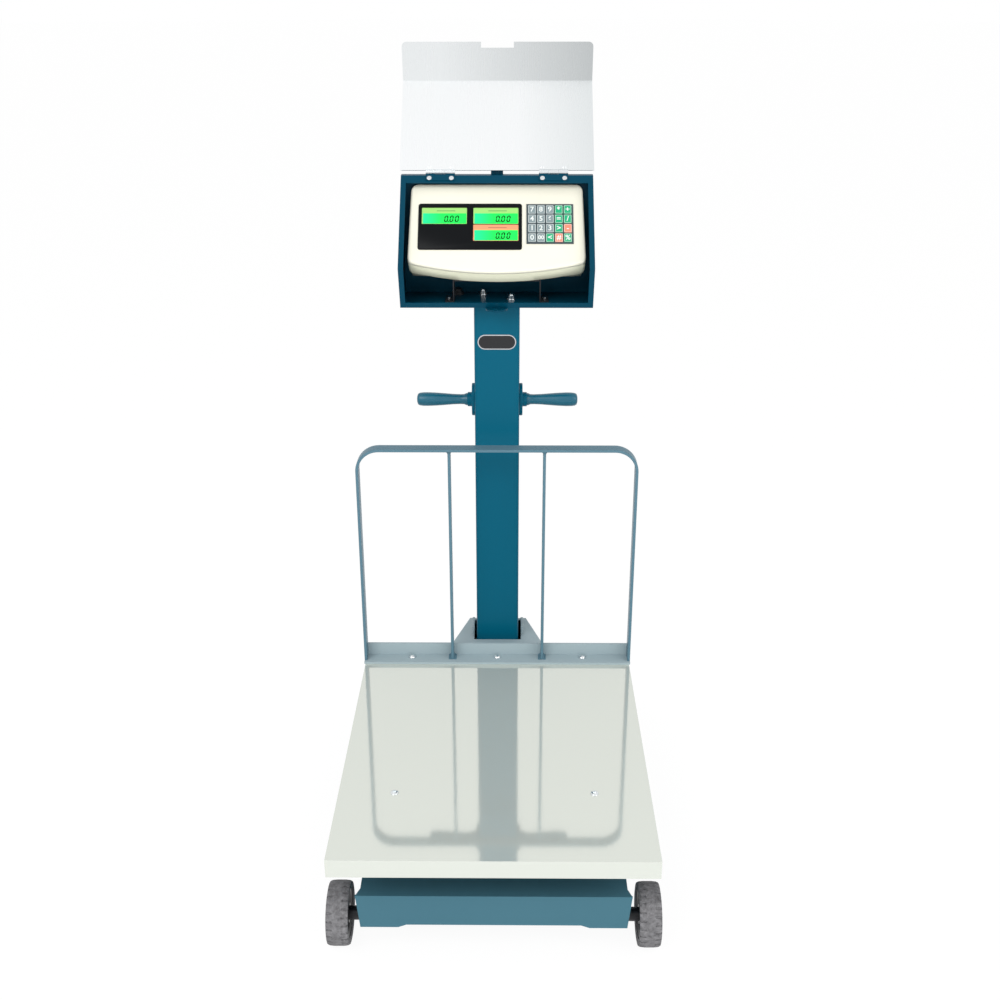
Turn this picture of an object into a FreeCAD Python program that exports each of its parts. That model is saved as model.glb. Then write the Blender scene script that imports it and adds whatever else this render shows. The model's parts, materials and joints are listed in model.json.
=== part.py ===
import FreeCAD, Part
import math
import os
import re
from types import SimpleNamespace

import Sketcher

# Mobile platform weighing scale: a steel platform on one load cell, four wheels, a guard rail,
# a column with two hand grips, and an instrument box with a hinged lid at its top.
# Millimetres. X runs to the right, Y runs back from the platform's front edge, Z runs up from
# the floor. Each finished piece is then moved forward by half the scale's depth, so that the
# origin is on the floor under the middle of the whole scale.

SIZES = {
    # platform
    "pan_width": 500, "pan_depth": 600, "pan_height": 212.5, "pan_skirt": 31, "pan_sheet": 1.5,
    "pan_screw_x": 160, "pan_screw_inset": 165, "screw_shank": 3, "screw_head": 6.5,
    "screw_head_height": 2.6, "screw_length": 16,
    "frame_gap": 2.5, "frame_rail": 38, "frame_wall": 2.5, "frame_plate": 6,
    "frame_plate_half": 60, "frame_inset": 20,
    # load cell, carried at its front end and carrying the frame at its rear end
    "cell_length": 150, "cell_width": 60, "cell_height": 42, "cell_pad": 50, "cell_pad_height": 8,
    "cell_bore": 13, "cell_bore_pitch": 34, "cell_slot": 8, "cell_bolt": 5, "cell_bolt_x": 15,
    "cell_bolt_grip": 22, "cell_bolt_head": 8, "cell_bolt_head_height": 6,
    "stop_bolt": 6, "stop_head": 9, "stop_gap": 2, "stop_x": 47, "stop_inset": 160,
    # base
    "base_half": 208, "base_top": 109.5, "base_sheet": 3, "base_front": 40, "base_rear": 726,
    "base_foot": 51.5, "base_arch": 56.5, "arch_foot_half": 149, "arch_half": 136,
    "apron_half": 214, "apron_return": 70, "apron_bevel": 26,
    "rail_x": 150, "rail_width": 40, "rail_wall": 2.5, "beam_wall": 5,
    # wheels
    "wheel_radius": 50, "tyre_width": 35, "tyre_round": 5, "wheel_inside": 226,
    "wheel_inset": 74, "hub_radius": 38, "hub_side": 3, "hub_dish": 30, "hub_dish_depth": 9,
    "axle_radius": 6, "axle_play": 0.06, "axle_spacer": 11, "axle_head": 10,
    "axle_head_height": 6, "axle_nut": 10.5, "axle_nut_height": 8, "axle_end_play": 0.3,
    # guard rail
    "guard_half": 252, "angle_foot": 35, "angle_rise": 27, "angle_wall": 4,
    "angle_overhang": 1, "hoop_rise": 432, "hoop_bar": 25, "hoop_thick": 5, "hoop_radius": 42,
    "upright_x": 85, "upright_bar": 20, "guard_bolt_x": 162, "guard_bolt_inset": 15,
    "guard_bolt": 4, "guard_bolt_head": 7.5, "guard_bolt_head_height": 5, "guard_bolt_grip": 20,
    # column and its socket
    "column_side": 80, "column_wall": 3, "column_round": 6, "column_front": 638,
    "foot_half": 56, "foot_plate": 8, "foot_bolt_x": 48.5, "foot_bolt_spread": 16,
    "foot_bolt": 4, "foot_bolt_head": 6.5, "foot_bolt_head_height": 5,
    "socket_front": 622, "socket_rear": 724, "socket_front_half": 87, "socket_rear_half": 56,
    "socket_height": 226.5, "socket_wall": 4, "socket_gap": 5, "ear_rise": 16, "ear_wall": 5,
    "badge_width": 68, "badge_height": 27, "badge_thick": 2, "badge_drop": 69,
    # hand grips
    "grip_drop": 188, "grip_reach": 146, "grip_length": 92, "grip_tip": 12.5, "grip_root": 9,
    "grip_flange_height": 60, "grip_flange_depth": 40, "grip_flange_thick": 6,
    "grip_boss": 13, "grip_stud": 5,
    # instrument box, an open tray with a slanted mouth
    "box_width": 330, "box_sheet": 1.6, "box_back": 716, "box_floor": 891.5, "nose_y": 580,
    "nose_z": 964.5, "slope": 48.4, "slope_length": 180.6, "low_front": 607, "rim_strip": 15,
    "rim_edge": 9, "front_edge": 9, "lug_half": 19, "lug_thick": 3,
    "lug_hole": 4, "stop_half": 10.5, "stop_wall": 3, "stop_length": 20,
    "box_bolt_x": 25, "box_bolt": 4, "box_bolt_washer": 9, "box_bolt_washer_height": 1.6,
    "box_bolt_nut": 7.2, "box_bolt_nut_height": 6.5, "box_bolt_tail": 4, "box_bolt_inset": 22,
    "cap_plate": 5, "gland_radius": 8, "gland_bore": 3.5, "gland_x": 70, "gland_inset": 16,
    "gland_height": 12, "gland_nut": 11, "gland_nut_height": 4,
    # lid and its two hinges
    "lid_width": 334, "lid_sheet": 1.2, "lid_main": 188, "lid_flap": 66, "lid_bend": 50,
    "lid_open": 48, "lid_corner": 8, "notch_half": 28.5, "notch_depth": 10,
    "hinge_x": 97, "hinge_half": 25, "hinge_leaf": 1.6, "hinge_lift": 2.5, "hinge_back": 5.5,
    "knuckle_radius": 4.2, "knuckle_half": 8, "knuckle_gap": 0.3, "hinge_pin": 2,
    "pin_play": 0.06, "leaf_start": 4.7, "leaf_reach": 16.5, "hinge_screw_x": 19,
    "hinge_screw_at": 12, "hinge_screw": 2, "hinge_screw_head": 3.5, "hinge_screw_lift": 0.7,
    "hinge_screw_length": 7,
    # indicator
    "case_half": 151, "case_wall": 2.5, "case_sink": 14, "case_low": 2, "case_high": 171.5,
    "case_lip": 25, "case_seam": 8, "case_rear": 708, "case_rear_low": 694, "case_bulge": 12.6,
    "case_joint": 0.6, "display_left": 134, "display_right": 43, "display_low": 44,
    "display_high": 133, "display_thick": 1.5, "lcd_width": 77, "lcd_height": 31.5,
    "lcd_thick": 4, "lcd_side": 6, "lcd_top": 8, "lcd_gap": 1, "panel_edge": 4, "keypad_left": 50.5, "keypad_right": 130.5,
    "keypad_low": 55.4, "keypad_high": 132, "keypad_thick": 1.6, "keypad_edge": 2,
    "key_gap": 1.9, "key_play": 0.3, "key_rise": 1.0, "key_flange": 1.0, "key_travel": 0.8,
    "board_thick": 1.6, "board_edge": 3, "battery_width": 70, "battery_depth": 48,
    "battery_height": 40, "battery_x": 60, "bracket_half": 90, "bracket_wall": 2,
    "bracket_depth": 40, "bracket_front": 640, "bracket_foot": 14, "bracket_screw": 2.5,
    "bracket_screw_head": 4, "bracket_screw_head_height": 2.4, "bracket_screw_tail": 5,
}

KEY_ROWS = [
    ["7", "8", "9", "light", "plus"],
    ["4", "5", "6", "add", "recall"],
    ["1", "2", "3", "unit", "clear"],
    ["0", "00", "hold", "zero", "tare"],
]
LCD_PLACES = [("left", "high"), ("right", "high"), ("right", "low")]


def derive(size):
    """Places that follow from the sizes: the mouth of the box, the hinge axis and the lid."""
    rise = math.radians(size["slope"])
    along = (math.cos(rise), math.sin(rise))
    out = (-math.sin(rise), math.cos(rise))
    place = {
        "rim_y": size["nose_y"] + size["slope_length"] * along[0],
        "rim_z": size["nose_z"] + size["slope_length"] * along[1],
    }
    lift = size["hinge_lift"]
    place["axis_y"] = place["rim_y"] + size["hinge_back"] * along[0] + lift * out[0]
    place["axis_z"] = place["rim_z"] + size["hinge_back"] * along[1] + lift * out[1]
    # the lid's rearmost point, seen from the side, is the outer corner of its fold
    # or the end of its flap
    open_rise = math.radians(size["lid_open"])
    flap_rise = math.radians(size["lid_open"] + size["lid_bend"])
    thick = size["lid_sheet"]
    mitre = thick * math.tan(math.radians(size["lid_bend"]) / 2)
    corner = (size["lid_main"] + mitre, -lift - thick)
    fold_y = place["axis_y"] + corner[0] * math.cos(open_rise) - corner[1] * math.sin(open_rise)
    flap_y = fold_y + (size["lid_flap"] + mitre) * math.cos(flap_rise)
    place["scale_depth"] = max(fold_y, flap_y)
    place["front_y"] = -place["scale_depth"] / 2
    return place


PLACES = derive(SIZES)
VALUES = {**SIZES, **PLACES}
V = SimpleNamespace(**VALUES)

doc = FreeCAD.newDocument("WeighingScale")
sheet = doc.addObject("Spreadsheet::Sheet", "Sizes")
nodes = []


def add_cell(alias, amount):
    """One row of the sheet: the name in column A, the plain number in column B."""
    add_cell.row += 1
    sheet.set(f"A{add_cell.row}", alias)
    sheet.set(f"B{add_cell.row}", repr(float(amount)))
    sheet.setAlias(f"B{add_cell.row}", alias)


add_cell.row = 0
for alias, amount in VALUES.items():
    add_cell(alias, amount)
doc.recompute()


def bind(item, prop, formula):
    """Tie a property to a formula of sheet cells."""
    item.setExpression(prop, re.sub(r"[a-z]\w*", lambda word: "Sizes." + word[0], str(formula)))


def block(name, x, y, z):
    """A box between two planes on each axis; x, y and z are pairs of formulas."""
    item = doc.addObject("Part::Box", name)
    for prop, axis, (low, high) in zip(("Length", "Width", "Height"), "xyz", (x, y, z)):
        bind(item, prop, f"({high}) - ({low})")
        bind(item, f"Placement.Base.{axis}", low)
    return item


TURNS = {
    "x": FreeCAD.Rotation(FreeCAD.Vector(0, 1, 0), 90),
    "y": FreeCAD.Rotation(FreeCAD.Vector(1, 0, 0), -90),
    "z": FreeCAD.Rotation(),
}


def rod(name, start, length, radius, axis="z", tip=None):
    """A cylinder, or with a tip radius a cone, from start along an axis."""
    item = doc.addObject("Part::Cylinder" if tip is None else "Part::Cone", name)
    item.Placement = FreeCAD.Placement(FreeCAD.Vector(), TURNS[axis])
    bind(item, "Height", length)
    if tip is None:
        bind(item, "Radius", radius)
    else:
        bind(item, "Radius1", radius)
        bind(item, "Radius2", tip)
    for letter, formula in zip("xyz", start):
        bind(item, f"Placement.Base.{letter}", formula)
    return item


def prism(name, plane, points, length, start=None, middle=False):
    """A body padded from a closed outline, whose corners are cells of the sheet.

    YZ outlines are (y, z) and grow along +X, XY outlines are (x, y) and grow along +Z,
    XZ outlines are (x, z) and grow along +Y.
    """
    body = doc.addObject("PartDesign::Body", name)
    sketch = body.newObject("Sketcher::SketchObject", name + "_outline")
    origin_plane = next(f for f in body.Origin.OriginFeatures if f.Role == plane + "_Plane")
    sketch.AttachmentSupport = (origin_plane, [""])
    sketch.MapMode = "FlatFace"
    corners = [FreeCAD.Vector(x, y, 0) for x, y in points]
    for here, there in zip(corners, corners[1:] + corners[:1]):
        sketch.addGeometry(Part.LineSegment(here, there))
    for index, point in enumerate(points):
        after = (index + 1) % len(points)
        sketch.addConstraint(Sketcher.Constraint("Coincident", index, 2, after, 1))
        for kind, letter, amount in zip(("DistanceX", "DistanceY"), "uv", point):
            alias = f"{name}_{letter}_{index}"
            add_cell(alias, amount)
            made = sketch.addConstraint(Sketcher.Constraint(kind, -1, 1, index, 1, amount))
            sketch.renameConstraint(made, f"{letter}{index}")
            bind(sketch, f"Constraints.{letter}{index}", alias)
    pad = body.newObject("PartDesign::Pad", name + "_pad")
    pad.Profile = sketch
    bind(pad, "Length", length)
    if middle:
        pad.SideType = "Symmetric"
    elif plane == "XZ":
        pad.Reversed = True
    if start is not None:
        bind(body, "Placement.Base." + {"YZ": "x", "XY": "z", "XZ": "y"}[plane], start)
    return body


def rounded(name, base, radius, picks):
    """Fillet the edges of a body that a test picks by their midpoints and directions."""
    base.recompute(True)
    edges = []
    for index, edge in enumerate(base.Shape.Edges):
        middle = edge.valueAt((edge.FirstParameter + edge.LastParameter) / 2)
        along = (edge.Vertexes[-1].Point - edge.Vertexes[0].Point)
        if picks(middle, along):
            edges.append((index + 1, radius, radius))
    item = doc.addObject("Part::Fillet", name)
    item.Base = base
    item.Edges = edges
    return item


def cut(name, base, *tools):
    item = doc.addObject("Part::Cut", name)
    item.Base = base
    item.Tool = tools[0] if len(tools) == 1 else group(name + "_tools", tools)
    return item


def fuse(name, *items):
    item = doc.addObject("Part::MultiFuse", name)
    item.Shapes = list(items)
    return item


def common(name, *items):
    item = doc.addObject("Part::MultiCommon", name)
    item.Shapes = list(items)
    return item


def group(name, items):
    item = doc.addObject("Part::Compound", name)
    item.Links = list(items)
    return item


def finish(label, items, turn, y, z):
    """A finished piece, turned about X and set at formulas for its Y and its height."""
    item = group(label, items)
    item.Label = label
    tilt(item, turn, y, z)
    nodes.append(item)


def tilt(item, turn, y, z):
    """Turn an item about X by a cell's angle and bind its place to formulas."""
    item.Placement = FreeCAD.Placement(
        FreeCAD.Vector(), FreeCAD.Rotation(FreeCAD.Vector(1, 0, 0), VALUES[turn]))
    bind(item, "Placement.Rotation.Angle", turn)
    bind(item, "Placement.Base.y", y)
    bind(item, "Placement.Base.z", z)
    return item


def standing(label, *items):
    """A finished piece of the stand, moved forward by half the scale's depth."""
    item = group(label, items)
    item.Label = label
    bind(item, "Placement.Base.y", "front_y")
    nodes.append(item)


def sloped(label, *items):
    """A finished piece drawn flat: X across, Y up the mouth of the box, Z out of it."""
    finish(label, items, "slope", "nose_y + front_y", "nose_z")


def rim_frame(label, items):
    """A finished piece drawn from the hinge axis, Y up the slope of the mouth."""
    finish(label, items, "slope", "axis_y + front_y", "axis_z")


def swung(label, *items):
    """A finished piece of the open lid: Y from the hinge axis up the lid, Z out of the box."""
    finish(label, items, "lid_open", "axis_y + front_y", "axis_z")


def sloped_tool(name, items):
    """A cutting tool drawn flat in the mouth of the box and tilted into place."""
    return tilt(group(name, items), "slope", "nose_y", "nose_z")


def rim_tool(name, items):
    """A cutting tool drawn from the hinge axis, Y up the slope of the mouth."""
    return tilt(group(name, items), "slope", "axis_y", "axis_z")


def bolt(name, x, y, under_head, shank, length, head, head_height):
    """A bolt that hangs down from the plane under its head."""
    body = rod(name + "_shank", (x, y, f"{under_head} - ({length})"), length, shank)
    cap = rod(name + "_head", (x, y, under_head), head_height, head)
    return fuse(name, body, cap)


def lifted_bolt(name, x, y, under_head, shank, length, head, head_height):
    """A bolt that points up from the plane over its head."""
    body = rod(name + "_shank", (x, y, under_head), length, shank)
    cap = rod(name + "_head", (x, y, f"{under_head} - ({head_height})"), head_height, head)
    return fuse(name, body, cap)


# --- platform -------------------------------------------------------------------------------

PAN_SCREW_SPOTS = [(x, "pan_screw_inset") for x in ("-pan_screw_x", "pan_screw_x")]
GUARD_BOLT_SPOTS = [
    (x, "pan_depth - guard_bolt_inset") for x in ("-guard_bolt_x", "0", "guard_bolt_x")
]
PAN_UNDER = "(pan_height - pan_sheet)"
FRAME_LOW = "(base_top + 2 * cell_pad_height + cell_height)"


def platform_holes(name, play):
    """Holes through the pan and its frame for the pan screws and the guard's bolts."""
    holes = []
    for x, y in PAN_SCREW_SPOTS:
        start = (x, y, "pan_height - pan_skirt")
        holes.append(rod(name, start, "2 * pan_skirt", f"screw_shank + {play}"))
    for x, y in GUARD_BOLT_SPOTS:
        start = (x, y, "pan_height - pan_skirt")
        holes.append(rod(name, start, "2 * pan_skirt", f"guard_bolt + {play}"))
    return holes


def make_pan():
    tray = block("pan_block", ("-pan_width / 2", "pan_width / 2"), ("0", "pan_depth"),
                 ("pan_height - pan_skirt", "pan_height"))
    inside = block("pan_hollow", ("pan_sheet - pan_width / 2", "pan_width / 2 - pan_sheet"),
                   ("pan_sheet", "pan_depth - pan_sheet"), ("0", PAN_UNDER))
    standing("pan", cut("pan_tray", tray, inside, *platform_holes("pan_hole", "0.3")))


def make_top_frame():
    """Angle bars around the rim and two cross channels, welded of flats, on the cell's plate."""
    left, right = "(frame_inset - pan_width / 2)", "(pan_width / 2 - frame_inset)"
    front, rear = "frame_inset", "(pan_depth - pan_sheet - frame_gap)"
    flat = (f"{PAN_UNDER} - frame_wall", PAN_UNDER)
    web = (FRAME_LOW, f"{PAN_UNDER} - frame_wall")
    crosses = [f"({y} - frame_rail / 2)"
               for y in ("pan_screw_inset", "(pan_depth - pan_screw_inset)")]
    between = (f"{left} + frame_rail", f"{right} - frame_rail")
    inside = (f"{left} + frame_wall", f"{right} - frame_wall")
    holes = platform_holes("frame_hole", "0")
    pieces = [block("rim_side_flat", (left, between[0]), (front, rear), flat),
              block("rim_side_flat", (between[1], right), (front, rear), flat),
              block("rim_side_web", (left, inside[0]), (front, rear), web),
              block("rim_side_web", (inside[1], right), (front, rear), web),
              block("rim_front_flat", between, (front, f"{front} + frame_rail"), flat),
              block("rim_front_web", inside, (front, f"{front} + frame_wall"), web),
              cut("rim_rear_drilled",
                  block("rim_rear_flat", between, (f"{rear} - frame_rail", rear), flat), *holes),
              block("rim_rear_web", inside, (f"{rear} - frame_wall", rear), web)]
    for y in crosses:
        back = f"{y} + frame_rail"
        pieces.append(cut("cross_drilled",
                          block("cross_flat", between, (y, back), flat), *holes))
        pieces.append(block("cross_web", inside, (y, f"{y} + frame_wall"), web))
        pieces.append(block("cross_web", inside, (f"{back} - frame_wall", back), web))
    plate = block("frame_plate_block", ("-frame_plate_half", "frame_plate_half"),
                  (crosses[0], f"{crosses[1]} + frame_rail"),
                  (f"{FRAME_LOW} - frame_plate", FRAME_LOW))
    pad = block("frame_pad", ("-cell_width / 2", "cell_width / 2"),
                ("pan_depth / 2 + cell_length / 2 - cell_pad", "pan_depth / 2 + cell_length / 2"),
                (f"{FRAME_LOW} - cell_pad_height", f"{FRAME_LOW} - frame_plate"))
    cell_holes = [rod("frame_cell_hole", (x, y, "base_top"), "pan_height", "cell_bolt")
                  for x, y in cell_bolt_spots("rear")]
    pieces.append(cut("frame_plate_drilled", plate, *cell_holes))
    pieces.append(cut("frame_pad_drilled", pad, *cell_holes))
    standing("top_frame", *pieces)


def cell_bolt_spots(end):
    """The two bolts at one end of the load cell, side by side over the middle of its pad."""
    middle = "cell_length / 2 - cell_pad / 2"
    y = f"pan_depth / 2 - ({middle})" if end == "front" else f"pan_depth / 2 + {middle}"
    return [("-cell_bolt_x", y), ("cell_bolt_x", y)]


def make_pan_screws():
    screws = []
    for x, y in PAN_SCREW_SPOTS:
        screws.append(bolt("pan_screw", x, y, "pan_height", "screw_shank", "screw_length",
                           "screw_head", "screw_head_height"))
    standing("pan_screws", *screws)


def make_load_cell():
    """One long block with two joined bores, which bends by a hair under load."""
    low = "(base_top + cell_pad_height)"
    middle = f"({low} + cell_height / 2)"
    beam = block("cell_block", ("-cell_width / 2", "cell_width / 2"),
                 ("pan_depth / 2 - cell_length / 2", "pan_depth / 2 + cell_length / 2"),
                 (low, f"{low} + cell_height"))
    half = "cell_bore_pitch / 2"
    openings = [
        rod("cell_bore_cut", ("-cell_width", f"pan_depth / 2 {sign} {half}", middle),
            "2 * cell_width", "cell_bore", "x")
        for sign in "-+"
    ]
    openings.append(block("cell_slot_cut", ("-cell_width", "cell_width"),
                          (f"pan_depth / 2 - {half}", f"pan_depth / 2 + {half}"),
                          (f"{middle} - cell_slot / 2", f"{middle} + cell_slot / 2")))
    for end in ("front", "rear"):
        for x, y in cell_bolt_spots(end):
            openings.append(rod("cell_bolt_cut", (x, y, "base_top"), "2 * cell_height",
                                "cell_bolt"))
    standing("load_cell", cut("cell_drilled", beam, fuse("cell_openings", *openings)))


def make_load_cell_bolts():
    """Two bolts up into the front end, two down into the rear, and four overload stops."""
    bolts = []
    for x, y in cell_bolt_spots("front"):
        bolts.append(lifted_bolt("cell_bolt_front", x, y, "base_top - base_sheet - beam_wall",
                                 "cell_bolt", "cell_bolt_grip + beam_wall + base_sheet",
                                 "cell_bolt_head", "cell_bolt_head_height"))
    for x, y in cell_bolt_spots("rear"):
        bolts.append(bolt("cell_bolt_rear", x, y, FRAME_LOW, "cell_bolt", "cell_bolt_grip",
                          "cell_bolt_head", "cell_bolt_head_height"))
    for x in ("-stop_x", "stop_x"):
        for y in ("stop_inset", "pan_depth - stop_inset"):
            rise = f"({FRAME_LOW} - frame_plate - stop_gap - base_top)"
            bolts.append(fuse("stop",
                              rod("stop_shank", (x, y, "base_top"), rise, "stop_bolt"),
                              rod("stop_nut", (x, y, "base_top"), "stop_bolt", "stop_head")))
    standing("load_cell_bolts", *bolts)


# --- guard rail -----------------------------------------------------------------------------

def make_guard():
    rear = "(pan_depth + angle_overhang)"
    width = ("-guard_half", "guard_half")
    foot = block("angle_foot_plate", width, (f"{rear} - angle_foot", rear),
                 ("pan_height", "pan_height + angle_wall"))
    flange = block("angle_flange", width, (f"{rear} - angle_wall", rear),
                   ("pan_height", "pan_height + angle_rise"))
    angle = fuse("angle", foot, flange)
    standing("guard_angle", cut("angle_drilled", angle, *platform_holes("angle_hole", "0.3")))

    foot_top = V.pan_height + V.angle_wall
    top = V.pan_height + V.hoop_rise
    outline = [(-V.guard_half, foot_top), (V.guard_half, foot_top),
               (V.guard_half, top), (-V.guard_half, top)]
    inner = V.guard_half - V.hoop_thick
    opening = [(-inner, foot_top - V.angle_wall), (inner, foot_top - V.angle_wall),
               (inner, top - V.hoop_thick), (-inner, top - V.hoop_thick)]
    bar_front = f"({rear} - angle_wall - hoop_bar)"
    outside = prism("hoop_outside", "XZ", outline, "hoop_bar", bar_front)
    inside = prism("hoop_inside", "XZ", opening, "3 * hoop_bar", f"{bar_front} - hoop_bar")

    def top_corners(height):
        return lambda middle, along: abs(along.y) > 1 and abs(middle.z - height) < 0.01

    hoop = cut("hoop", rounded("hoop_outside_round", outside, V.hoop_radius, top_corners(top)),
               rounded("hoop_inside_round", inside, V.hoop_radius - V.hoop_thick,
                       top_corners(top - V.hoop_thick)))
    uprights = []
    for side in ("-", ""):
        x = (f"{side}upright_x - hoop_thick / 2", f"{side}upright_x + hoop_thick / 2")
        uprights.append(block("upright", x,
                              (f"{rear} - angle_wall - upright_bar", f"{rear} - angle_wall"),
                              ("pan_height + angle_wall",
                               "pan_height + hoop_rise - hoop_thick / 2")))
    standing("guard_frame", fuse("hoop_and_uprights", hoop, *uprights))

    bolts = []
    for x, y in GUARD_BOLT_SPOTS:
        bolts.append(bolt("guard_bolt_one", x, y, "pan_height + angle_wall", "guard_bolt",
                          "guard_bolt_grip", "guard_bolt_head", "guard_bolt_head_height"))
    standing("guard_bolts", *bolts)


# --- base -----------------------------------------------------------------------------------

AXLE_SPOTS = [
    (side, place) for place in ("front", "rear") for side in ("left", "right")
]
AXLE_Y = {"front": "wheel_inset", "rear": "(pan_depth - wheel_inset)"}
AXLE_HEIGHT = "wheel_radius"


def axle_holes(name):
    return [rod(name, ("-wheel_inside", y, AXLE_HEIGHT), "2 * wheel_inside", "axle_radius", "x")
            for y in AXLE_Y.values()]


def apron_outline(half, foot_half, top, foot, arch, toe, bow):
    """A wall with a foot at each end and a raised edge between them, seen from the front."""
    return [(-half, top), (half, top), (foot_half, foot), (toe, foot), (bow, arch),
            (-bow, arch), (-toe, foot), (-foot_half, foot)]


def make_base_shell():
    """A folded sheet: deck, side walls, rear wall, and a front apron with bevelled returns."""
    walls = prism("shell_walls", "XZ",
                  apron_outline(V.base_half, V.base_half, V.base_top, V.base_foot,
                                V.base_arch, V.arch_foot_half, V.arch_half),
                  "base_rear - base_front", "base_front")
    hollow = block("shell_hollow", ("base_sheet - base_half", "base_half - base_sheet"),
                   ("base_front + base_sheet", "base_rear - base_sheet"),
                   ("0", "base_top - base_sheet"))
    apron_top = V.base_top + V.base_sheet
    apron = prism("apron", "XZ",
                  apron_outline(V.apron_half, V.base_half, apron_top, V.base_foot,
                                V.base_arch, V.arch_foot_half, V.arch_half),
                  "base_sheet", "base_front")
    back = V.base_front + V.apron_return
    returns = prism("apron_returns", "XY",
                    [(-V.apron_half, V.base_front), (V.apron_half, V.base_front),
                     (V.apron_half - V.apron_bevel, back), (V.apron_bevel - V.apron_half, back)],
                    "base_sheet", "base_top")
    holes = axle_holes("shell_axle_hole")
    for x, y in cell_bolt_spots("front"):
        holes.append(rod("shell_cell_hole", (x, y, "0"), "pan_height", "cell_bolt"))
    holes += [rod("shell_foot_hole", (x, y, "0"), "pan_height", "foot_bolt")
              for x, y in FOOT_SPOTS]
    whole = fuse("shell_whole", cut("shell_open", walls, hollow), apron, returns)
    standing("base_shell", cut("shell_drilled", whole, *holes))


def make_base_frame():
    """Two angle rails under the deck, two cross channels of flats, and the load cell's pad."""
    top = "(base_top - base_sheet)"
    low = f"({top} - rail_width)"
    length = ("base_front + base_sheet", "base_rear - base_sheet")
    inner = "(rail_x - rail_width / 2)"
    outer = "(rail_x + rail_width / 2)"
    wall = f"({inner} + rail_wall)"
    pieces = [
        block("rail_flat", (inner, outer), length, (f"{top} - rail_wall", top)),
        block("rail_flat", (f"-{outer}", f"-{inner}"), length, (f"{top} - rail_wall", top)),
        block("rail_web", (inner, wall), length, (low, f"{top} - rail_wall")),
        block("rail_web", (f"-{wall}", f"-{inner}"), length, (low, f"{top} - rail_wall")),
    ]
    cell_holes = [rod("frame_front_hole", (x, y, "0"), "pan_height", "cell_bolt")
                  for x, y in cell_bolt_spots("front")]
    foot_holes = [rod("foot_hole", (x, y, "0"), "pan_height", "foot_bolt")
                  for x, y in FOOT_SPOTS]
    cell_front = "(pan_depth / 2 - cell_length / 2)"
    cell_back = f"({cell_front} + cell_pad)"
    column_rear = "(column_front + column_side)"
    across = (f"-{inner}", inner)
    for y0, y1, holes in ((cell_front, cell_back, cell_holes),
                          ("column_front", column_rear, foot_holes)):
        flat = block("beam_flat", across, (y0, y1), (f"{top} - beam_wall", top))
        pieces.append(cut("beam_flat_drilled", flat, *holes))
        for span in ((y0, f"{y0} + beam_wall"), (f"{y1} - beam_wall", y1)):
            pieces.append(block("beam_web", across, span, (low, f"{top} - beam_wall")))
    pad = block("cell_pad_block", ("-cell_width / 2", "cell_width / 2"),
                (cell_front, cell_back), ("base_top", "base_top + cell_pad_height"))
    pieces.append(cut("cell_pad_drilled", pad, *cell_holes))
    standing("base_frame", *pieces)


def make_axle_bolts():
    """Shoulder bolts that carry the wheels, each with a spacer sleeve and an inner nut."""
    bolts = []
    bearing = "(wheel_inside + hub_side)"
    for side, place in AXLE_SPOTS:
        y = AXLE_Y[place]
        hub_out = f"({bearing} + tyre_width - 2 * hub_side - hub_dish_depth)"
        start = "(base_half - base_sheet - axle_nut_height)"
        stretches = [
            (start, f"{hub_out} + axle_end_play", "axle_radius"),
            (f"{hub_out} + axle_end_play", f"{hub_out} + axle_end_play + axle_head_height",
             "axle_head"),
            ("base_half", f"{bearing} - axle_end_play", "axle_spacer"),
            (start, "base_half - base_sheet", "axle_nut"),
        ]
        parts = []
        for near, far, radius in stretches:
            near_x = near if side == "right" else f"-({far})"
            parts.append(rod("axle_stretch", (near_x, y, AXLE_HEIGHT), f"({far}) - ({near})",
                             radius, "x"))
        bolts.append(fuse(f"axle_{place}_{side}", *parts))
    standing("axle_bolts", *bolts)


def make_wheel(side, place):
    """A rubber tyre on a dished hub that runs on the shoulder bolt."""
    y = AXLE_Y[place]

    def across(near, far):
        return (near, f"({far}) - ({near})") if side == "right" else (
            f"-({far})", f"({far}) - ({near})")

    def disc(name, near, far, radius):
        start, length = across(near, far)
        return rod(name, (start, y, AXLE_HEIGHT), length, radius, "x")

    outer = "(wheel_inside + tyre_width)"
    solid = disc("tyre_disc", "wheel_inside", outer, "wheel_radius")
    solid.recompute()
    item = doc.addObject("Part::Fillet", "tyre_rounded")
    item.Base = solid
    item.Edges = [(index + 1, V.tyre_round, V.tyre_round)
                  for index, edge in enumerate(solid.Shape.Edges)
                  if isinstance(edge.Curve, Part.Circle)]
    seat = disc("tyre_seat", "wheel_inside - 1", f"{outer} + 1", "hub_radius")
    standing(f"tyre_{place}_{side}", cut("tyre_ring", item, seat))

    hub_in = "(wheel_inside + hub_side)"
    hub_out = f"({outer} - hub_side)"
    hub = disc("hub_disc", hub_in, hub_out, "hub_radius")
    dish = disc("hub_dish_cut", f"{hub_out} - hub_dish_depth", f"{hub_out} + 1", "hub_dish")
    bore = disc("hub_bore", "wheel_inside", outer, "axle_radius + axle_play")
    standing(f"hub_{place}_{side}", cut("hub_turned", hub, dish, bore))


# --- column ---------------------------------------------------------------------------------

COLUMN_MIDDLE = "(column_front + column_side / 2)"
FOOT_SPOTS = [
    (f"{side}foot_bolt_x", f"{COLUMN_MIDDLE} {row} foot_bolt_spread")
    for side in ("-", "") for row in "-+"
]


def column_edges(middle, along):
    return abs(along.z) > 1


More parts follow.
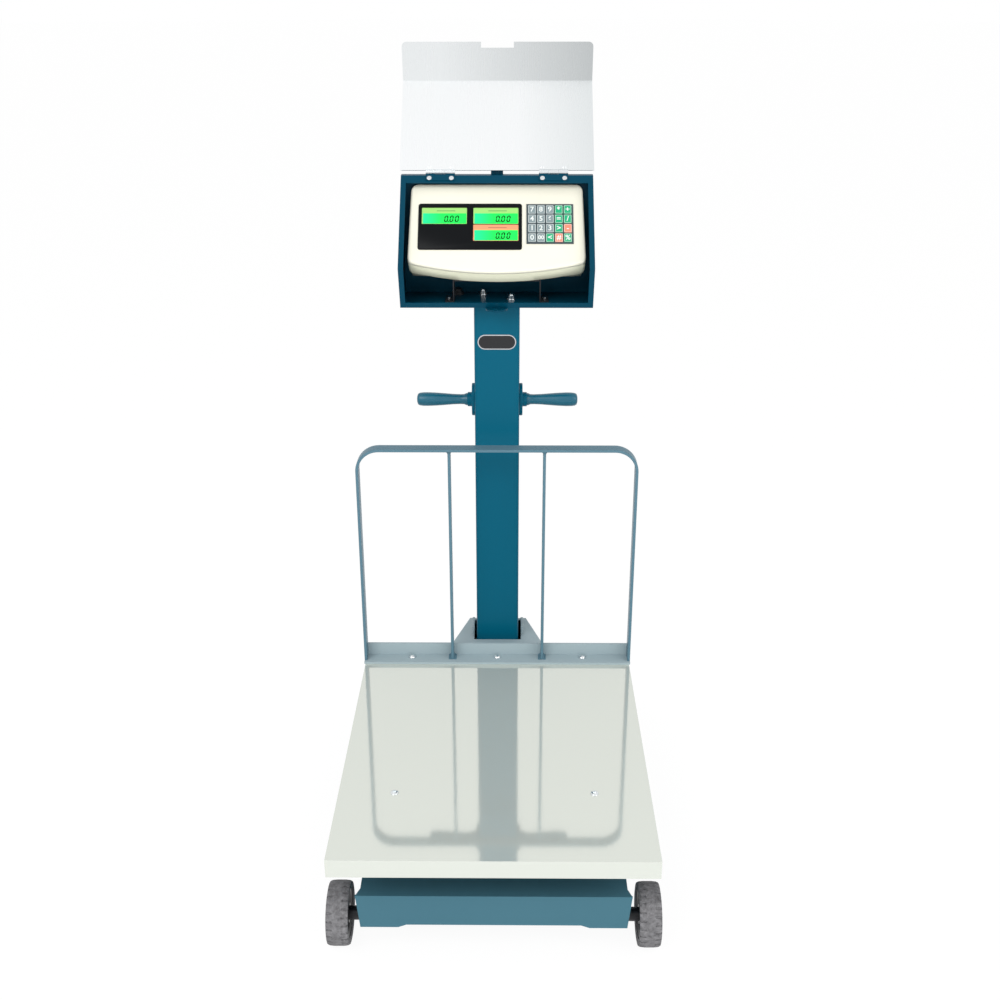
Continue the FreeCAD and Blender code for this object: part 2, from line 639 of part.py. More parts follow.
def make_column():
    half = "column_side / 2"
    tube = block("column_block", (f"-{half}", half),
                 ("column_front", "column_front + column_side"), ("base_top", "box_floor"))
    bore = block("column_bore", (f"column_wall - {half}", f"{half} - column_wall"),
                 ("column_front + column_wall", "column_front + column_side - column_wall"),
                 ("0", "box_floor - cap_plate"))
    foot = block("column_foot", ("-foot_half", "foot_half"),
                 (f"{COLUMN_MIDDLE} - foot_bolt_spread - foot_bolt_head - foot_bolt",
                  f"{COLUMN_MIDDLE} + foot_bolt_spread + foot_bolt_head + foot_bolt"),
                 ("base_top", "base_top + foot_plate"))
    outside = rounded("column_round_corners", tube, V.column_round, column_edges)
    holes = [rod("column_foot_hole", (x, y, "0"), "pan_height", "foot_bolt")
             for x, y in FOOT_SPOTS]
    holes += [rod("cap_hole", (x, y, "box_floor - 2 * cap_plate"), "pan_height", "box_bolt")
              for x, y in BOX_BOLT_SPOTS]
    holes.append(bore)
    standing("column", cut("column_bored", fuse("column_whole", outside, foot), *holes))


BOX_BOLT_SPOTS = [
    ("box_bolt_x", "column_front + box_bolt_inset"),
    ("-box_bolt_x", "column_front + column_side - box_bolt_inset"),
]


def make_socket():
    """A tapering pedestal of plate around the column's foot, with an ear at each side."""
    front, rear, wall = V.socket_front, V.socket_rear, V.socket_wall
    lean = (V.socket_front_half - V.socket_rear_half) / (rear - front)
    slant = wall * math.hypot(1, lean)
    inner_front = V.socket_front_half - wall * lean - slant
    inner_rear = V.socket_rear_half + wall * lean - slant
    outside = prism("socket_outside", "XY",
                    [(-V.socket_front_half, front), (V.socket_front_half, front),
                     (V.socket_rear_half, rear), (-V.socket_rear_half, rear)],
                    "socket_height - base_top", "base_top")
    inside = prism("socket_inside", "XY",
                   [(-inner_front, front + wall), (inner_front, front + wall),
                    (inner_rear, rear - wall), (-inner_rear, rear - wall)],
                   "socket_height - socket_wall - base_top + 1", "base_top - 1")
    gap = "(column_side / 2 + socket_gap)"
    window = block("socket_window", (f"-{gap}", gap),
                   ("column_front - 0.5", "column_front + column_side + 0.5"),
                   ("base_top + 1", "2 * socket_height"))
    ears = []
    for side in (-1, 1):
        near, far = gap, f"({gap} + ear_wall)"
        x = (near, far) if side > 0 else (f"-{far}", f"-{near}")
        ears.append(block("socket_ear", x,
                          ("column_front + column_side / 4", "column_front + column_side * 3 / 4"),
                          ("socket_height - socket_wall", "socket_height + ear_rise")))
    pedestal = cut("socket_open", outside, fuse("socket_cuts", inside, window))
    standing("column_socket", fuse("socket_whole", pedestal, *ears))


def make_frame_bolts():
    """Bolts of the column's foot, the two bolts that hold the box, and the bracket's screws."""
    bolts = []
    for x, y in FOOT_SPOTS:
        bolts.append(bolt("foot_bolt_one", x, y, "base_top + foot_plate", "foot_bolt",
                          "foot_plate + base_sheet + beam_wall", "foot_bolt_head",
                          "foot_bolt_head_height"))
    for x, y in BOX_BOLT_SPOTS:
        seat = "(box_floor + box_sheet)"
        bolts.append(fuse(
            "box_bolt_one",
            rod("box_bolt_shank", (x, y, "box_floor - cap_plate"),
                "cap_plate + box_sheet + box_bolt_nut_height + box_bolt_tail", "box_bolt"),
            rod("box_bolt_washer_disc", (x, y, seat), "box_bolt_washer_height",
                "box_bolt_washer"),
            rod("box_bolt_nut_disc", (x, y, f"{seat} + box_bolt_washer_height"),
                "box_bolt_nut_height", "box_bolt_nut")))
    for x, y in BRACKET_SCREW_SPOTS:
        bolts.append(bolt("bracket_screw_one", x, y, "box_floor + box_sheet + bracket_wall",
                          "bracket_screw", "bracket_wall + box_sheet + bracket_screw_tail",
                          "bracket_screw_head", "bracket_screw_head_height"))
    standing("frame_bolts", *bolts)


def stadium(name, width, height, depth, start_y, middle_z):
    """A flat plate with round ends, standing across the column."""
    round_end = f"({height}) / 2"
    straight = f"(({width}) / 2 - {round_end})"
    middle = block(name + "_middle", (f"-{straight}", straight),
                   (start_y, f"{start_y} + {depth}"),
                   (f"{middle_z} - {round_end}", f"{middle_z} + {round_end}"))
    ends = [rod(name + "_end", (f"{side}{straight}", start_y, middle_z), depth, round_end, "y")
            for side in ("-", "")]
    return fuse(name, middle, *ends)


def make_badge():
    standing("badge", stadium("badge_plate", "badge_width", "badge_height", "badge_thick",
                              "column_front - badge_thick", "box_floor - badge_drop"))


def make_grips():
    """A flange plate on each side of the column with a tapered hand grip on its boss."""
    z = "(box_floor - grip_drop)"
    y = COLUMN_MIDDLE
    plates = []
    grips = []
    for side in (-1, 1):
        def across(near, far, flip=side):
            return (near, f"({far}) - ({near})") if flip > 0 else (
                f"-({far})", f"({far}) - ({near})")

        face = "column_side / 2"
        plate_out = f"{face} + grip_flange_thick"
        boss_out = "grip_reach - grip_length"
        start, length = across(face, plate_out)
        end_radius = "grip_flange_depth / 2"
        upright = f"(grip_flange_height / 2 - {end_radius})"
        middle = block("grip_flange_block",
                       (start, f"{start} + {length}"),
                       (f"{y} - {end_radius}", f"{y} + {end_radius}"),
                       (f"{z} - {upright}", f"{z} + {upright}"))
        ends = [rod("grip_flange_end", (start, y, f"{z} {sign} {upright}"), length,
                    end_radius, "x") for sign in "-+"]
        start, length = across(plate_out, boss_out)
        boss = rod("grip_boss_disc", (start, y, z), length, "grip_boss", "x")
        stud_start, stud_length = across(face, "grip_reach - grip_length / 2")
        stud = rod("grip_stud_rod", (stud_start, y, z), stud_length, "grip_stud", "x")
        plates.append(fuse("grip_flange", middle, *ends, boss, stud))

        middle_x = "grip_reach - grip_length * 0.55"
        neck_start, neck_length = across(boss_out, middle_x)
        narrow, wide = ("grip_root", "grip_tip") if side > 0 else ("grip_tip", "grip_root")
        neck = rod("grip_neck", (neck_start, y, z), neck_length, narrow, "x", wide)
        hold_start, hold_length = across(middle_x, "grip_reach")
        hold = rod("grip_hold", (hold_start, y, z), hold_length, "grip_tip", "x")
        socket = rod("grip_socket", (stud_start, y, z), stud_length, "grip_stud", "x")
        grips.append(cut("grip_one", fuse("grip_solid", neck, hold), socket))
    standing("handle_flanges", *plates)
    standing("handle_grips", *grips)


# --- instrument box -------------------------------------------------------------------------

def make_box_shell():
    """A sheet box whose front is open: a long slanted mouth and a short steep one below."""
    nose = (V.nose_y, V.nose_z)
    rim = (V.rim_y, V.rim_z)
    sheet_wall = V.box_sheet
    outline = [nose, (V.low_front, V.box_floor), (V.box_back, V.box_floor),
               (V.box_back, V.rim_z), rim]
    mouth = V.slope_length
    hollow = [(V.nose_y - mouth, V.nose_z), (V.low_front - mouth, V.box_floor + sheet_wall),
              (V.box_back - sheet_wall, V.box_floor + sheet_wall),
              (V.box_back - sheet_wall, V.rim_z - sheet_wall),
              (V.rim_y, V.rim_z - sheet_wall), (V.rim_y - mouth, V.rim_z + mouth)]
    outside = prism("box_outside", "YZ", outline, "box_width", middle=True)
    inside = prism("box_inside", "YZ", hollow, "box_width - 2 * box_sheet", middle=True)

    # folded edges around the mouth: a wide strip for the hinges, a narrow one down each side
    rise = math.radians(V.slope)
    along = (math.cos(rise), math.sin(rise))
    inward = (math.sin(rise) * sheet_wall, -math.cos(rise) * sheet_wall)
    low = (V.rim_y - V.rim_strip * along[0], V.rim_z - V.rim_strip * along[1])
    strip = prism("rim_strip_plate", "YZ",
                  [low, rim, (rim[0] + inward[0], rim[1] + inward[1]),
                   (low[0] + inward[0], low[1] + inward[1])], "box_width", middle=True)
    steep = math.atan2(V.box_floor - V.nose_z, V.low_front - V.nose_y)
    back = (-math.sin(steep) * sheet_wall, math.cos(steep) * sheet_wall)
    foot = (V.low_front, V.box_floor)
    edges = []
    for side in ("-", ""):
        start = "box_width / 2 - rim_edge" if side == "" else "-box_width / 2"
        edges.append(prism("rim_edge_plate" + ("_right" if side == "" else "_left"), "YZ",
                           [nose, rim, (rim[0] + inward[0], rim[1] + inward[1]),
                            (nose[0] + inward[0], nose[1] + inward[1])], "rim_edge", start))
        edges.append(prism("low_edge_plate" + ("_right" if side == "" else "_left"), "YZ",
                           [nose, (nose[0] + back[0], nose[1] + back[1]),
                            (foot[0] + back[0], foot[1] + back[1]), foot], "rim_edge", start))
    fall = V.front_edge / (V.nose_z - V.box_floor)
    lip = (foot[0] + (nose[0] - foot[0]) * fall, foot[1] + V.front_edge)
    edges.append(prism("front_edge_plate", "YZ",
                       [foot, lip, (lip[0] + back[0], lip[1] + back[1]),
                        (foot[0] + back[0], foot[1] + back[1])], "box_width", middle=True))
    clip = prism("box_clip", "YZ", outline, "box_width", middle=True)
    folds = common("box_folds", fuse("box_edges", strip, *edges), clip)
    shell = fuse("box_folded", cut("box_open", outside, inside), folds)
    holes = [rod("box_bolt_hole", (x, y, "box_floor - 1"), "cap_plate", "box_bolt")
             for x, y in BOX_BOLT_SPOTS]
    holes += [rod("bracket_screw_hole", (x, y, "box_floor - 1"), "cap_plate", "bracket_screw")
              for x, y in BRACKET_SCREW_SPOTS]
    holes.append(rod("gland_hole", ("-gland_x", "box_back - gland_inset", "box_floor - 1"),
                     "cap_plate", "gland_radius"))
    rim_holes = rim_tool("rim_holes", [
        rod("rim_screw_hole", (x, "-hinge_screw_at", "-hinge_lift - 4"), "2 * hinge_lift",
            "hinge_screw") for x in HINGE_SCREW_SPOTS])
    standing("box_shell", cut("box_drilled", shell, rim_holes, *holes))


def make_box_lugs():
    """A half-round locking lug under the front edge, and the lid's stop behind the rim."""
    disc = rod("lug_disc", ("0", "low_front", "box_floor - lug_thick"), "lug_thick", "lug_half")
    root = block("lug_root", ("-lug_half", "lug_half"), ("low_front", "low_front + lug_half"),
                 ("box_floor - lug_thick", "box_floor"))
    eye = rod("lug_eye", ("0", "low_front - lug_half / 2", "box_floor - 2 * lug_thick"),
              "3 * lug_thick", "lug_hole")
    lug = cut("lug_plate", fuse("lug_whole", disc, root), eye)
    rise = math.radians(V.lid_open)
    along = (math.cos(rise), math.sin(rise))
    out = (-math.sin(rise), math.cos(rise))
    drop = V.hinge_lift + V.lid_sheet + STOP_PLAY

    def lid_point(reach, down):
        return (V.axis_y + reach * along[0] - down * out[0],
                V.axis_z + reach * along[1] - down * out[1])

    top = V.rim_z
    stop = prism("lid_stop_plate", "YZ",
                 [lid_point(V.stop_length, drop), lid_point(V.stop_length, drop + V.stop_wall),
                  (V.box_back + V.stop_wall, top), (V.box_back + V.stop_wall, top - V.stop_length),
                  (V.box_back, top - V.stop_length), (V.box_back, top)],
                 "2 * stop_half", middle=True)
    standing("box_lugs", lug, stop)


STOP_PLAY = 0.3
BRACKET_SCREW_SPOTS = [
    (f"{side}(bracket_half - bracket_foot / 2)", "bracket_front + bracket_depth / 2")
    for side in ("-", "")
]
CASE_TOP_EDGE = 3


def case_profile():
    """The indicator's side view: sloping face, upright lip, flat underside and rear wall.

    The face runs on past the middle of the bowed front, which trims it.
    """
    rise = math.radians(V.slope)
    along = (math.cos(rise), math.sin(rise))
    out = (-math.sin(rise), math.cos(rise))

    def face_point(up):
        return (V.nose_y + up * along[0] - V.case_sink * out[0],
                V.nose_z + up * along[1] - V.case_sink * out[1])

    low = face_point(V.case_low - V.case_bulge)
    high = face_point(V.case_high)
    under = face_point(V.case_low)[1] - V.case_lip
    return [low, (low[0], under), (V.case_rear_low, under), (V.case_rear, high[1]), high]


def inset(points, wall, short_edge):
    """The outline moved inwards by a wall, for corners listed anticlockwise.

    The edge after the corner numbered short_edge is narrower than the walls beside it,
    so those two meet there instead.
    """
    lines = []
    for index, (here, there) in enumerate(zip(points, points[1:] + points[:1])):
        if index == short_edge:
            continue
        length = math.dist(here, there)
        step = ((there[0] - here[0]) / length, (there[1] - here[1]) / length)
        normal = (-step[1] * wall, step[0] * wall)
        lines.append(((here[0] + normal[0], here[1] + normal[1]), step))
    corners = []
    for (spot, step), (spot_after, step_after) in zip(lines[-1:] + lines[:-1], lines):
        spread = step[0] * step_after[1] - step[1] * step_after[0]
        gap = (spot_after[0] - spot[0], spot_after[1] - spot[1])
        share = (gap[0] * step_after[1] - gap[1] * step_after[0]) / spread
        corners.append((spot[0] + share * step[0], spot[1] + share * step[1]))
    return corners


def case_body(name, profile, half, bulge_inset):
    """The profile pulled across, with its front bowed outwards in plan."""
    radius = (V.case_half ** 2 + V.case_bulge ** 2) / (2 * V.case_bulge)
    front = (case_profile()[0][0] + V.case_bulge * math.cos(math.radians(V.slope)))
    add_cell(name + "_bow", radius - bulge_inset)
    add_cell(name + "_bow_y", front + radius)
    add_cell(name + "_half", half)
    wedge = prism(name + "_wedge", "YZ", profile, f"2 * {name}_half", middle=True)
    bow = rod(name + "_drum", ("0", f"{name}_bow_y", "box_floor"), "scale_depth",
              f"{name}_bow")
    return common(name + "_bowed", wedge, bow)


def make_indicator():
    """Two plastic shells that meet along the lip, a display panel, a keypad and its works."""
    profile = case_profile()
    wall = V.case_wall
    outer = case_body("case_outer", profile, V.case_half, 0)
    inner = case_body("case_inner", inset(profile, wall, CASE_TOP_EDGE), V.case_half - wall, wall)
    under = profile[1][1]
    add_cell("case_split", under + V.case_lip - V.case_seam)
    add_cell("case_under", under)
    everywhere = ("-box_width", "box_width")
    depth = ("0", "scale_depth")
    face_window = sloped_tool("case_windows", [
        block("display_window", ("-display_left + panel_edge", "display_right - panel_edge"),
              ("display_low + panel_edge", "display_high - panel_edge"), WINDOW_Z),
        block("keypad_window", ("keypad_left + keypad_edge", "keypad_right - keypad_edge"),
              ("keypad_low + keypad_edge", "keypad_high - keypad_edge"), WINDOW_Z),
    ])
    shell = cut("case_hollowed", outer, inner)
    below = block("below_split", everywhere, depth, ("0", "case_split"))
    above = block("above_split", everywhere, depth, ("case_split - case_joint", "2 * box_floor"))
    standing("indicator_case", cut("case_upper", shell, below, face_window))
    standing("indicator_base", cut("case_lower", shell, above))

    sloped("display_panel", cut(
        "display_plate",
        block("display_block", ("-display_left", "display_right"),
              ("display_low", "display_high"), ("-case_sink", "display_thick - case_sink")),
        *[block("lcd_window", *lcd_span(column, row), ("-case_sink - 1", "0"))
          for column, row in LCD_PLACES]))
    sloped("lcd_modules", *[
        block("lcd_" + column + "_" + row, *lcd_span(column, row),
              ("-case_sink - lcd_thick", "-case_sink + display_thick / 2"))
        for column, row in LCD_PLACES])
    make_keypad()
    sloped("circuit_board", block(
        "main_board", ("-display_left + panel_edge", "keypad_right - keypad_edge"),
        ("display_low", "display_high"),
        ("-case_sink - lcd_thick - board_thick", "-case_sink - lcd_thick")))
    standing("battery", block(
        "battery_block", ("battery_x - battery_width / 2", "battery_x + battery_width / 2"),
        ("case_rear_low - case_wall - battery_depth - 2", "case_rear_low - case_wall - 2"),
        ("case_under + case_wall", "case_under + case_wall + battery_height")))


WINDOW_Z = ("-case_sink - 2 * case_wall", "1 - case_sink")


def lcd_span(column, row):
    """The X and Y spans of one window of the display."""
    left = "(lcd_side - display_left)" if column == "left" else (
        "(display_right - lcd_side - lcd_width)")
    top = "(display_high - lcd_top)" if row == "high" else (
        "(display_high - lcd_top - lcd_gap - lcd_height)")
    return (left, f"{left} + lcd_width"), (f"{top} - lcd_height", top)


def make_keypad():
    """A plate with a window for each key; a key's flange under the plate keeps it in."""
    plate = block("keypad_block", ("keypad_left", "keypad_right"),
                  ("keypad_low", "keypad_high"), ("-case_sink", "keypad_thick - case_sink"))
    windows = []
    column_pitch = "((keypad_right - keypad_left - 2 * keypad_edge) / 5)"
    row_pitch = "((keypad_high - keypad_low - 2 * keypad_edge) / 4)"
    for row, names in enumerate(KEY_ROWS):
        for column, name in enumerate(names):
            x = f"(keypad_left + keypad_edge + {column_pitch} * {column + 0.5})"
            y = f"(keypad_high - keypad_edge - {row_pitch} * {row + 0.5})"
            half_x = f"({column_pitch} / 2 - key_gap / 2)"
            half_y = f"({row_pitch} / 2 - key_gap / 2)"

            def key_block(label, grow, z, x=x, y=y, half_x=half_x, half_y=half_y):
                return block(label, (f"{x} - {half_x} - ({grow})", f"{x} + {half_x} + ({grow})"),
                             (f"{y} - {half_y} - ({grow})", f"{y} + {half_y} + ({grow})"), z)

            windows.append(key_block("key_window", "key_play",
                                     ("-case_sink - 1", "0")))
            under = "(-case_sink - key_play)"
            cap = key_block("key_cap", "0",
                            (f"{under} - key_flange", "keypad_thick + key_rise - case_sink"))
            flange = key_block("key_flange_block", "2 * key_play",
                               (f"{under} - key_flange", under))
            sloped("key_" + name, fuse("key_" + name + "_whole", cap, flange))
    sloped("keypad_plate", cut("keypad_pierced", plate, *windows))


def make_bracket():
    """A bent strap on the box's floor that carries the indicator."""
    floor = "(box_floor + box_sheet)"
    y = ("bracket_front", "bracket_front + bracket_depth")
    top = "case_under"
    inner = "(bracket_half - bracket_foot)"
    deck = block("bracket_deck", (f"-{inner}", inner), y, (f"{top} - bracket_wall", top))
    pieces = [deck]
    for side in ("-", ""):
        leg_x = (f"{inner} - bracket_wall", inner) if side == "" else (
            f"-{inner}", f"bracket_wall - {inner}")
        foot_x = (f"{inner} - bracket_wall", "bracket_half") if side == "" else (
            "-bracket_half", f"bracket_wall - {inner}")
        pieces.append(block("bracket_leg", leg_x, y, (floor, top)))
        pieces.append(block("bracket_foot_plate", foot_x, y, (floor, f"{floor} + bracket_wall")))
    holes = [rod("bracket_hole", (x, y0, "box_floor"), "cap_plate", "bracket_screw")
             for x, y0 in BRACKET_SCREW_SPOTS]
    standing("indicator_bracket", cut("bracket_drilled", fuse("bracket_whole", *pieces), *holes))


def make_gland():
    """The gland in the box's floor for the load cell's lead."""
    x, y = "-gland_x", "box_back - gland_inset"
    stem = rod("gland_stem", (x, y, "box_floor - gland_height"), "gland_height + gland_height",
               "gland_radius")
    flange = rod("gland_flange", (x, y, "box_floor - gland_nut_height"), "gland_nut_height",
                 "gland_nut")
    nut = rod("gland_lock_nut", (x, y, "box_floor + box_sheet"), "gland_nut_height", "gland_nut")
    bore = rod("gland_bore_cut", (x, y, "box_floor - 2 * gland_height"), "4 * gland_height",
               "gland_bore")
    standing("cable_gland", cut("gland_whole", fuse("gland_solid", stem, flange, nut), bore))


# --- lid and hinges -------------------------------------------------------------------------

def make_lid():
    """One bent sheet: a main panel, and a flap with a notch that clears the locking lug."""
    bend = math.radians(V.lid_bend)
    forward = (math.cos(bend), math.sin(bend))
    outward = (math.sin(bend), -math.cos(bend))
    thick = V.lid_sheet
    fold = (V.lid_main, -V.hinge_lift)
    tip = (fold[0] + V.lid_flap * forward[0], fold[1] + V.lid_flap * forward[1])
    start = V.leaf_start
    mitre = thick * math.tan(bend / 2)
    profile = [(start, fold[1]), (start, fold[1] - thick),
               (fold[0] + mitre, fold[1] - thick),
               (tip[0] + outward[0] * thick, tip[1] + outward[1] * thick), tip, fold]
    sheet_body = prism("lid_sheet_bent", "YZ", profile, "lid_width", middle=True)
    near_tip = (tip[0] - V.notch_depth * forward[0], tip[1] - V.notch_depth * forward[1])
    past_tip = (tip[0] + V.notch_depth * forward[0], tip[1] + V.notch_depth * forward[1])
    reach = V.notch_depth
    notch_outline = []
    for spot, sign in ((near_tip, 1), (past_tip, 1), (past_tip, -1), (near_tip, -1)):
        notch_outline.append((spot[0] + sign * outward[0] * reach,
                              spot[1] + sign * outward[1] * reach))
    notch = prism("lid_notch", "YZ", notch_outline, "2 * notch_half", middle=True)

    def flap_corners(middle, along):
        at_end = math.dist((middle.y, middle.z), tip) < 2 * thick
        return at_end and abs(along.x) < 0.01 and abs(abs(middle.x) - V.lid_width / 2) < 0.1

    rounded_sheet = rounded("lid_rounded", sheet_body, V.lid_corner, flap_corners)
    holes = [rod("lid_rivet_hole", (x, "hinge_screw_at", "-2 * hinge_lift"), "2 * hinge_lift",
                 "hinge_screw") for x in HINGE_SCREW_SPOTS]
    swung("lid", cut("lid_notched", rounded_sheet, notch, *holes))


def hinge_knuckles(name, x, middle):
    """The middle knuckle, or the two outer ones, of a hinge whose centre is at x."""
    if middle:
        return [rod(name, (f"{x} - knuckle_half", "0", "0"), "2 * knuckle_half",
                    "knuckle_radius", "x")]
    side = "(hinge_half - knuckle_half - knuckle_gap)"
    return [rod(name, (f"{x} - hinge_half", "0", "0"), side, "knuckle_radius", "x"),
            rod(name, (f"{x} + knuckle_half + knuckle_gap", "0", "0"), side,
                "knuckle_radius", "x")]


def make_hinges():
    """Two butt hinges: the box's leaf holds the pin, the lid's leaf turns on it."""
    low = "-hinge_lift"
    high = "(hinge_leaf - hinge_lift)"
    lid_pieces = []
    box_pieces = []
    for x in ("-hinge_x", "hinge_x"):
        wide = (f"{x} - hinge_half", f"{x} + hinge_half")
        narrow = (f"{x} - knuckle_half", f"{x} + knuckle_half")
        bore = rod("hinge_bore", (wide[0], "0", "0"), "2 * hinge_half", "hinge_pin + pin_play",
                   "x")
        leaf = block("lid_leaf_plate", wide, ("leaf_start", "leaf_reach"), (low, high))
        neck = block("lid_leaf_neck", narrow, ("0", "leaf_start"), (low, high))
        lid_leaf = fuse("lid_leaf_whole", leaf, neck,
                        *hinge_knuckles("lid_knuckle", x, True))
        holes = [bore]
        for screw_x in (f"{x} - hinge_screw_x", f"{x} + hinge_screw_x"):
            holes.append(rod("lid_rivet_hole", (screw_x, "hinge_screw_at", "-hinge_lift - 1"),
                             "2 * hinge_lift", "hinge_screw"))
            lid_pieces.append(lid_rivet(screw_x))
        lid_pieces.append(cut("lid_leaf_drilled", lid_leaf, *holes))

        # the box's leaf lies down the rim, so it runs the other way from the axis
        leaf = block("box_leaf_plate", wide, ("-leaf_reach", "-leaf_start"), (low, high))
        ends = []
        for part in ((wide[0], f"{narrow[0]} - knuckle_gap"),
                     (f"{narrow[1]} + knuckle_gap", wide[1])):
            ends.append(block("box_leaf_neck", part, ("-leaf_start", "0"), (low, high)))
        pin = rod("hinge_pin_rod", (wide[0], "0", "0"), "2 * hinge_half", "hinge_pin", "x")
        box_leaf = fuse("box_leaf_whole", leaf, *ends, pin,
                        *hinge_knuckles("box_knuckle", x, False))
        holes = [rod("box_screw_hole", (screw_x, "-hinge_screw_at", "-hinge_lift - 1"),
                     "2 * hinge_lift", "hinge_screw")
                 for screw_x in (f"{x} - hinge_screw_x", f"{x} + hinge_screw_x")]
        box_pieces.append(cut("box_leaf_drilled", box_leaf, *holes))
    swung("lid_hinge_leaves", *lid_pieces)
    rim_frame("box_hinge_leaves", box_pieces)
    rim_frame("hinge_screws", [
        fuse("hinge_screw_one",
             rod("hinge_screw_shank", (screw_x, "-hinge_screw_at", "-hinge_lift - 4"),
                 "hinge_leaf + 4", "hinge_screw"),
             rod("hinge_screw_cap", (screw_x, "-hinge_screw_at", high), "hinge_screw_lift",
                 "hinge_screw_head"))
        for screw_x in HINGE_SCREW_SPOTS])


HINGE_SCREW_SPOTS = [
    f"{hinge} {side} hinge_screw_x" for hinge in ("-hinge_x", "hinge_x") for side in "-+"
]


def lid_rivet(x):
    """A rivet through the lid's sheet and the hinge leaf, proud by its head on each side."""
    shank = rod("lid_rivet_shank", (x, "hinge_screw_at", "-hinge_lift - lid_sheet"),
                "lid_sheet + hinge_leaf", "hinge_screw")
    inner = rod("lid_rivet_inner", (x, "hinge_screw_at", "hinge_leaf - hinge_lift"),
                "hinge_screw_lift", "hinge_screw_head")
    outer = rod("lid_rivet_outer",
                (x, "hinge_screw_at", "-hinge_lift - lid_sheet - hinge_screw_lift"),
                "hinge_screw_lift", "hinge_screw_head")
    return fuse("lid_rivet", shank, inner, outer)


make_pan()
make_top_frame()
make_pan_screws()
make_load_cell()
make_load_cell_bolts()
make_guard()
make_base_shell()
make_base_frame()
make_axle_bolts()
for wheel_side, wheel_place in AXLE_SPOTS:
    make_wheel(wheel_side, wheel_place)
make_column()
make_socket()
make_frame_bolts()
make_badge()
make_grips()
make_box_shell()
make_box_lugs()
make_indicator()
make_bracket()
make_gland()
make_lid()
make_hinges()
doc.recompute()

for item in doc.Objects:
    if "Invalid" in item.State or "Error" in item.State:
        raise RuntimeError(f"{item.Name} failed: {item.State}")
for item in nodes:
    if item.Shape.isNull() or not item.Shape.isValid() or not item.Shape.Solids:
        raise RuntimeError(f"{item.Label} has no valid solid")

os.makedirs("parts", exist_ok=True)
for item in nodes:
    item.Shape.exportStep(f"parts/{item.Label}.step")
box = Part.makeCompound([item.Shape for item in nodes]).BoundBox
print(len(nodes), "pieces", box)
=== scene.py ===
import json
import math

import bmesh
import bpy
from mathutils import Matrix, Vector


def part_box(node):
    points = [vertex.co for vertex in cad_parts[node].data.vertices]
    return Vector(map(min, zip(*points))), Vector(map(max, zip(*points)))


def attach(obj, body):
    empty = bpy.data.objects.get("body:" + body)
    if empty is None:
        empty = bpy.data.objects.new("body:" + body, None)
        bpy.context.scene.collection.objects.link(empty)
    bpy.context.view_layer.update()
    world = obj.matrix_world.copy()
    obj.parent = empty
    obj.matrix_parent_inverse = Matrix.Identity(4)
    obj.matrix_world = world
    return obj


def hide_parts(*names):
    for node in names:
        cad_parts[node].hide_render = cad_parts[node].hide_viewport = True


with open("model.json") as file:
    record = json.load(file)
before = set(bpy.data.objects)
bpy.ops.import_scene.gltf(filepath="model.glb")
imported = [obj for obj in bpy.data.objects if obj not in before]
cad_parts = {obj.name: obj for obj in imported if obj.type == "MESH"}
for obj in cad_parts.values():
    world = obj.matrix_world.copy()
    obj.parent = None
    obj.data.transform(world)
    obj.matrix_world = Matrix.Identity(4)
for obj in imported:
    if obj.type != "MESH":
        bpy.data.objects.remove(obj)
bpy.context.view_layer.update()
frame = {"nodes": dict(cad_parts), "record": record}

MM = 0.001
scene = bpy.context.scene

# sizes that the finish needs and that the frame's meshes don't state
LID_FLAP = 66 * MM
LID_FLAP_TILT = math.radians(82)
KNUCKLE_RADIUS = 4.2 * MM
SCREW_DOME = 0.3 * MM
BOLT_DOME = 5.0 * MM
RAIL_WIDTH = 20.0 * MM
RAIL_THICK = 5.0 * MM
WELD_FLARE = 5.0 * MM
BADGE_RIM = 1.9 * MM
AXLE_BORE = 6.06 * MM
HUB_BOSS = 15.0 * MM
HUB_DISH = 8.0 * MM
LUGS = 24
LUG_DEPTH = 1.6 * MM
LIP = 34.0 * MM
# the seam sits this far below the face, so that most of the lip takes the lower shell's darker tone,
# which is partly painted shade
SEAM = 7.0 * MM
CASE_WALL = 2.4 * MM
CASE_FOOT = 42.0 * MM
CASE_BOW = 19.0 * MM
CASE_CORNER = 13.0 * MM
BELLY_RUN = 50.0 * MM
BELLY_REAR = 6.0 * MM
BELLY_TAPER = 4.0 * MM
SEGMENTS_OF_ZERO = ("top", "upper_left", "upper_right", "lower_left", "lower_right", "bottom")
DIGIT_HEIGHT = 13.0 * MM
DIGIT_WIDTH = 6.6 * MM
DIGIT_STROKE = 2.1 * MM
DIGIT_LEAN = 0.14
DIGIT_GAP = 2.6 * MM
READING_WIDTH = 39.5 * MM
READING_FOOT = 3.4 * MM
GLASS_RISE = 0.15 * MM
DIGIT_RISE = 0.22 * MM
BAR_RISE = 0.08 * MM
KEY_EDGE = 0.6 * MM
LEGEND_SIZE = 13.0 * MM
PAIR_SIZE = 10.0 * MM
FLOOR_RADIUS = 40.0
FLOOR_DROP = 0.5 * MM
WORLD_LIGHT = 0.62

# the camera: its yaw, pitch and roll in degrees, and its place from the pan's front and top
CAMERA_LENS = 44.67
CAMERA_TURN = (-0.517, 23.146, -0.069)
CAMERA_ASIDE = 0.0242
CAMERA_BEFORE = 1.4756
CAMERA_ABOVE = 1.2116


# --- tones, node groups and materials --------------------------------------------------------

def tone(red, green, blue):
    """A screen colour, 0 to 255, as the linear colour that a shader takes."""
    linear = []
    for part in (red, green, blue):
        share = part / 255
        linear.append(share / 12.92 if share <= 0.04045 else ((share + 0.055) / 1.055) ** 2.4)
    return (*linear, 1.0)


